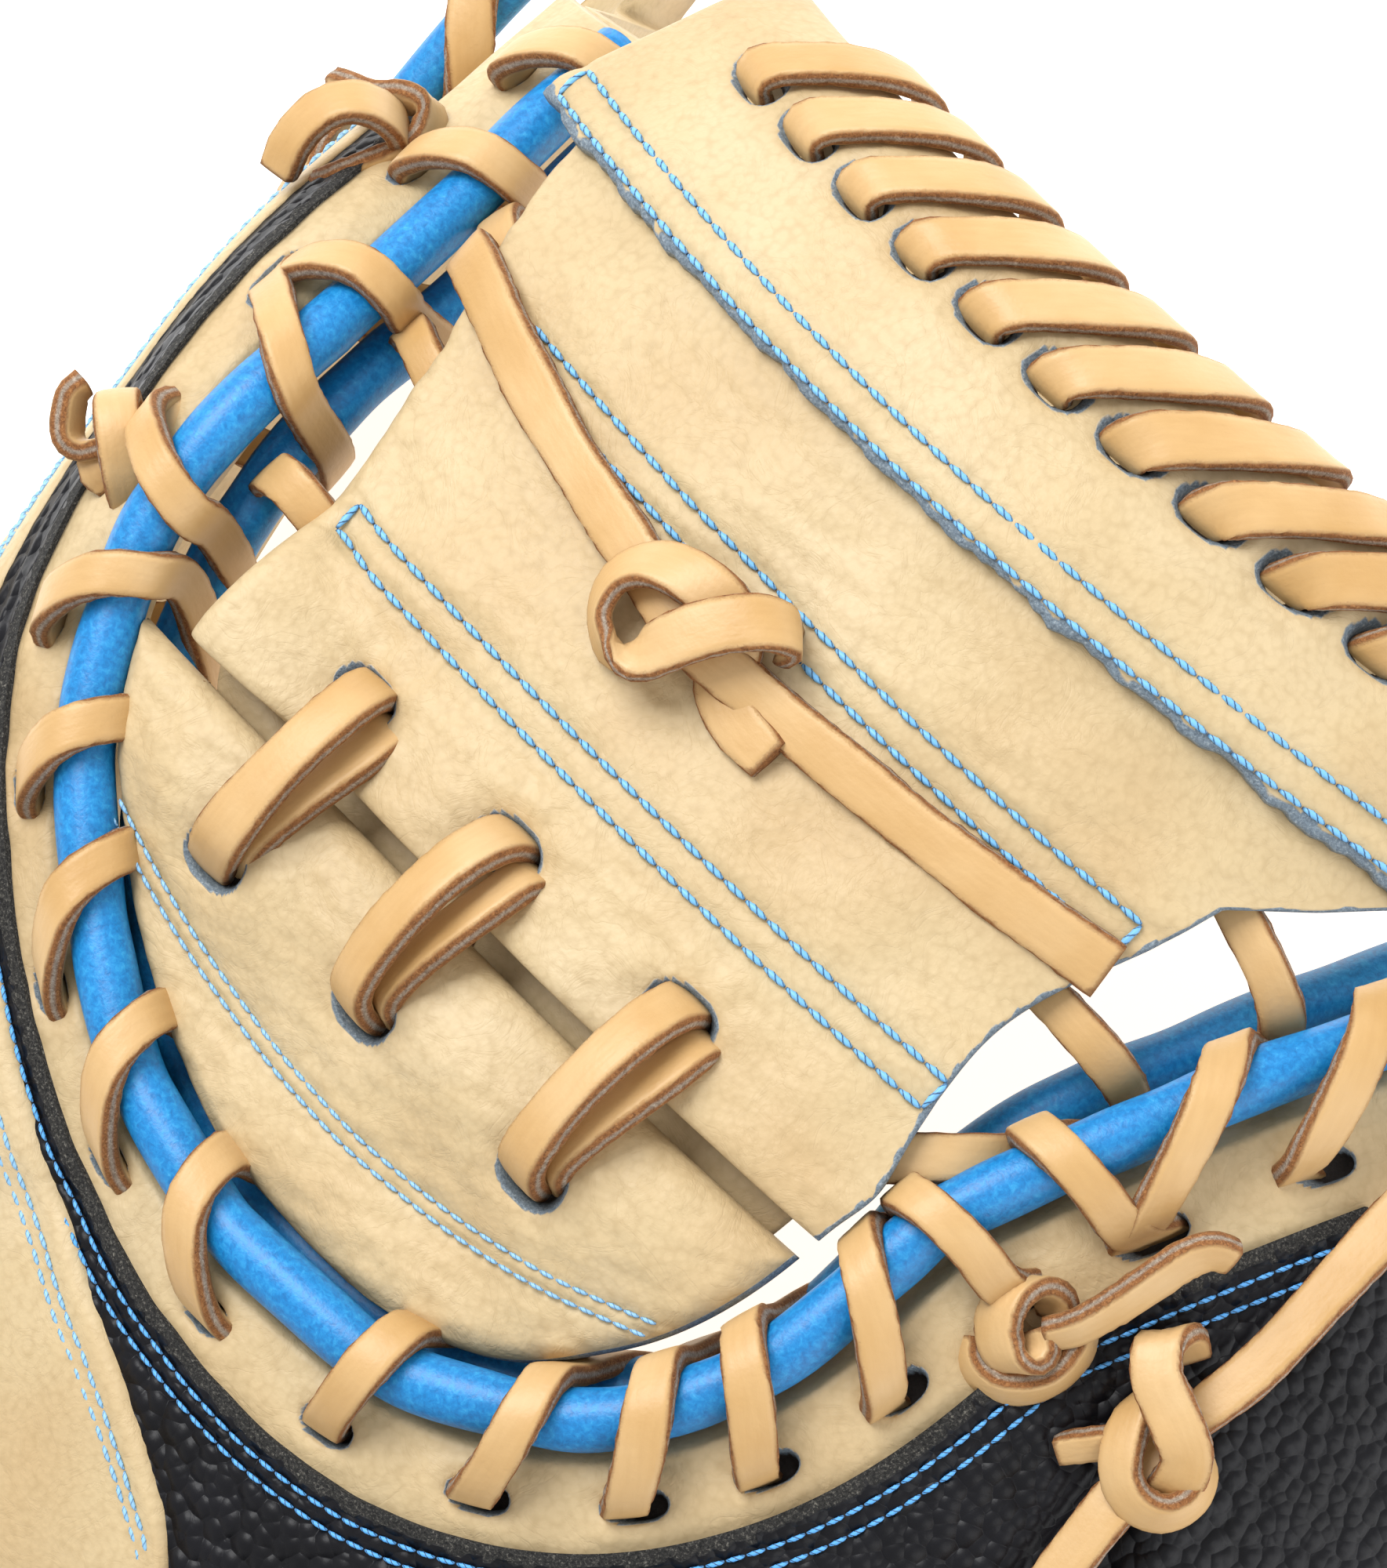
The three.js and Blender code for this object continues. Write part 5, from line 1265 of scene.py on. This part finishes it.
    gathered("finger_lace_knot_low", [
        strand(place, [
            (0.2, 3.0, 0.6, 1, 0.1, -0.1), (-0.4, 4.4, 2.6, 1, 0.1, -0.1), (-0.6, 3.2, 5.2, 1, 0.1, -0.1),
            (-0.1, 0.0, 6.4, 1, 0.1, -0.1), (0.7, -4.3, 5.6, 1, 0.1, -0.1), (1.3, -7.2, 3.2, 1, 0.1, -0.1),
            (1.4, -7.6, 0.6, 1, 0.1, -0.1),
        ], 51),
        strand(place, [
            (-1.6, -0.8, 3.0, -0.4, 0, 0.9), (-3.2, -1.3, 3.4, -0.4, 0, 0.9), (-5.3, -1.3, 3.6, -0.4, 0, 0.9),
            (-6.7, 0.0, 3.8, -0.4, 0, 0.9), (-6.8, 2.6, 4.0, -0.4, 0, 0.9), (-6.2, 5.2, 4.0, -0.4, 0, 0.9),
            (-5.0, 6.4, 3.8, -0.4, 0, 0.9),
        ], 52, shift=1.6),
        strand(place, [
            (-1.8, -1.6, 1.6, 0.9, 0.2, 0.2), (-3.0, -3.2, 2.2, 0.9, 0.3, 0.2), (-1.4, -5.0, 1.4, 0.7, 0.6, 0.2),
        ], 53, width=4.6),
        strand(place, [
            (0.2, -1.0, 3.4, -0.35, 0.9, 0.1), (2.6, -0.1, 4.6, -0.35, 0.9, 0.1), (5.0, 1.1, 4.6, -0.3, 0.9, 0),
            (7.2, 1.8, 3.4, -0.2, 0.9, -0.1), (8.4, 1.6, 1.2, -0.2, 0.9, -0.1),
        ], 54),
        strand(place, [
            (5.0, 1.6, 0.4, 0.2, -0.3, 0.9), (9.2, 4.6, 0.2, 0.2, -0.3, 0.9), (11.8, 6.8, -0.8, 0.2, -0.3, 0.9),
        ], 55, width=3),
        strand(place, [
            (2.4, -3.4, 1.6, -0.3, 0.9, 0.2), (6.4, -2.8, 0.6, -0.3, 0.9, 0.2), (9.6, -3.6, -1.6, -0.3, 0.9, 0.2),
        ], 56, width=4.6),
    ], RAWHIDE, ["finger_knot_low"], slot="lace")


# The wrist strap

STRAP = dict(wrist=140, distance=104, half=60, width=30, thick=4, arch=22, lift=0.5)
TAB = dict(start=-52, end=-12, width=22, thick=2.4)


def strap_point(across, along, up):
    """Point on the strap: set out from the middle towards the wrist, arched over the back."""
    angle = np.radians(STRAP["wrist"])
    x = np.sin(angle) * along - np.cos(angle) * across
    y = np.cos(angle) * along + np.sin(angle) * across
    arch = STRAP["arch"] * (1 - (across / STRAP["half"]) ** 2)
    return np.stack([x, y, back_height(x, y) + arch + up], -1)


def arched_strip(name, node, start, end, width, low, thick, material, slot, embossed):
    """A strip over the arch with rounded corners and edges, scaled where it is embossed."""
    across = np.linspace(start, end, int(1.4 * (end - start)))[:, None]
    share = np.linspace(-1, 1, 70)
    share = mix(share, np.sin(share * np.pi / 2), 0.5)[None]
    from_end = np.minimum(across - start, end - across)
    narrow = 1 - 0.35 * (1 - np.sqrt(1 - (1 - clamp01(from_end / 7)) ** 2))
    along = STRAP["distance"] + share * width / 2 * narrow
    across = across + 0 * share
    edge = (1 - np.abs(share)) * width / 2 * narrow
    up = low + thick - rounded(np.minimum(edge, from_end + 0 * share), thick * 0.45)
    up = up - dent(edge - 2.6, 0.35, 0.7)
    if embossed:
        scales = cells(strap_point(across, along, up), 2.7, 29)
        up = up + 0.3 * (smooth(scales / 0.42) - 1) * smooth((edge - 0.8) / 0.8)
    raw = 0.5 * smooth((0.45 - edge) / 0.3)
    top = strap_point(across, along, up)
    slab(name, top, strap_point(across, along, low + 0 * up), material, cut=raw, nodes=[node], slot=slot)


def strap():
    arched_strip("wrist_strap_leather", "wrist_strap", -STRAP["half"], STRAP["half"], STRAP["width"], STRAP["lift"],
                 STRAP["thick"], BLACK, "black", True)
    arched_strip("wrist_strap_tab", "strap_tab", TAB["start"], TAB["end"], TAB["width"],
                 STRAP["lift"] + STRAP["thick"] + GAP, TAB["thick"], BLOND, "blond", False)


# Stitching

def sewn(name, lines, thread, pitch=STITCH, radius=THREAD_RADIUS, lift=0.0, slot="blue"):
    """Stitches along several lines, each a function's points on the surface and its normals."""
    parts = [stitch_parts(line, up, lift, pitch, radius) for line, up in lines]
    gathered(name, parts, thread, slot=slot)


def on_surface(surface, x, y, level):
    """A line on a height surface with its upward normals."""
    low = stood_on(surface, x, y, level)
    return low, unit(stood_on(surface, x, y, level + 1.0) - low)


def double_row(surface, x_from, x_to, y_of, level_of, half, closed_left=True, closed_right=True):
    """Two rows a little apart with their ends joined, as x and y over a surface."""
    x = np.linspace(x_from, x_to, 300)
    lines = [on_surface(surface, x, y_of(x) + side * half, level_of(x, y_of(x))) for side in (-1, 1)]
    for at_x, wanted in ((x_from, closed_left), (x_to, closed_right)):
        if wanted:
            y = y_of(at_x) + np.linspace(-half, half, 20)
            lines.append(on_surface(surface, at_x + 0 * y, y, level_of(at_x + 0 * y, y)))
    return lines


def stitching():
    main_level = lambda x, y: mix(4.0, 3.1, smooth((y - 80) / 20)) - 0.25 + 0.28 * ripple(x, y, 19, 41)
    rows = double_row(web_height, -47.6, 47.4, lambda x: THIRD_ROW[0] + THIRD_ROW[1] * x, main_level, ROW_HALF)
    rows += double_row(web_height, -47.4, 49.1, lambda x: SECOND_ROW[0] + SECOND_ROW[1] * x, main_level, ROW_HALF)
    sewn("web_main_stitching", rows, SKY_THREAD)
    fold_level = lambda x, y: FOLD_LEVEL - 0.15 + 0 * x
    sewn("web_fold_stitching", double_row(web_height, -66.5, 60.9, lambda x: FOLD_ROW[0] + 0 * x, fold_level, ROW_HALF),
         SKY_THREAD)
    sunk = lambda x, y: crotch_level(y) - 0.62 + 0.25 * ripple(x, y, 16, 61)
    sewn("web_crotch_stitching",
         double_row(web_height, -44, 43, crotch_row, sunk, CROTCH_ROW_HALF, closed_left=False, closed_right=False),
         PALE_THREAD, pitch=2.1, radius=0.25, lift=0.2)
    lines = []
    for row, first in zip(SHELL_ROWS, (0.37, 0.47)):
        s = np.linspace(first, SHELL["last"] - 0.004, 500)
        point, level = layers(s, (collar_width(s) + row) / body_length(s))
        line = raised_grid(point, level["back"] + 0.9 * np.exp(-(row + 0.9) / 4.5) + 0.05)
        lines.append((line, unit(on_back(point[:, 0], point[:, 1], 1.0) - on_back(point[:, 0], point[:, 1], 0.0))))
    sewn("black_shell_stitching", lines, BRIGHT_THREAD, pitch=2.35, radius=0.27)
    lines = []
    for inside in PANEL_ROWS:
        s = np.linspace(SHELL["first"] + 0.004, 0.555, 560)
        point, level = layers(s, shell_end(s) + (inside - 1) / body_length(s))
        line = raised_grid(point, level["back"] + 1.5 * np.exp(-inside / 7))
        lines.append((line, unit(on_back(point[:, 0], point[:, 1], 1.0) - on_back(point[:, 0], point[:, 1], 0.0))))
    sewn("finger_panel_stitching", lines, PALE_THREAD, pitch=2.4, radius=0.28)


palm_pad()
black_shell()
finger_panel()
collar()
binding("notch_back_binding", "notch_binding_back", lambda s: 0 * s, 1.0, 81)
binding("notch_palm_binding", "notch_binding_palm", palm_inset, -11, 82)
whip_lace()
rim()
web_main()
web_front()
web_crotch()
web_fold()
spiral_lace()
joining_loops()
cross_lace()
knots()
strap()
stitching()


# Floor, light and camera


def camera():
    """A long lens from the photograph's angle: turned towards the thumb and the web's top, and
    rolled so that the web runs down to the right."""
    turned, upward, towards = picture_frame()
    place = (np.array(CAMERA_TARGET) + CAMERA_DISTANCE * towards - PLAN_CENTRE) * MM
    lens = bpy.data.cameras.new("camera")
    lens.lens = LENS_MM
    lens.clip_start = 0.01
    body = bpy.data.objects.new("camera", lens)
    matrix = Matrix([[*row] for row in np.stack([turned, upward, towards], 1)]).to_4x4()
    matrix.translation = place
    body.matrix_world = matrix
    bpy.context.scene.collection.objects.link(body)
    bpy.context.scene.camera = body
    return towards, turned, upward


def soft_box(name, direction, distance, size, power):
    """A square area light that looks at the mitt."""
    light = bpy.data.lights.new(name, "AREA")
    light.size = size
    light.energy = power
    made = bpy.data.objects.new(name, light)
    away = unit(np.array(direction, float))
    side = unit(np.cross([0.1, 1, 0.2], away))
    matrix = Matrix([[*row] for row in np.stack([side, np.cross(away, side), away], 1)]).to_4x4()
    matrix.translation = away * distance
    made.matrix_world = matrix
    bpy.context.scene.collection.objects.link(made)


def studio():
    """A pale floor under an even white sky, with one large soft key and a weaker fill."""
    world = bpy.data.worlds.new("even_white")
    world.use_nodes = True
    world.node_tree.nodes["Background"].inputs["Color"].default_value = (1, 1, 1, 1)
    world.node_tree.nodes["Background"].inputs["Strength"].default_value = 0.75
    bpy.context.scene.world = world
    bpy.context.scene.view_settings.view_transform = "Standard"
    towards, turned, upward = camera()
    soft_box("key", towards + 0.9 * upward - 0.5 * turned, 1.3, 0.7, 16)
    soft_box("fill", towards - 0.8 * upward + 0.9 * turned, 1.4, 1.0, 5)
    material = bpy.data.materials.new("pale_matt_floor")
    material.use_nodes = True
    finished(material, Base_Color=linear("#f6f6f6"), Roughness=0.9, Emission_Color=(1, 1, 1, 1), Emission_Strength=0.75)
    mesh = bpy.data.meshes.new("floor")
    reach = 6.0
    corners = [(-reach, -reach, 0), (reach, -reach, 0), (reach, reach, 0), (-reach, reach, 0)]
    mesh.from_pydata(corners, [], [(0, 1, 2, 3)])
    mesh.materials.append(material)
    floor = bpy.data.objects.new("floor", mesh)
    bpy.context.scene.collection.objects.link(floor)


studio()
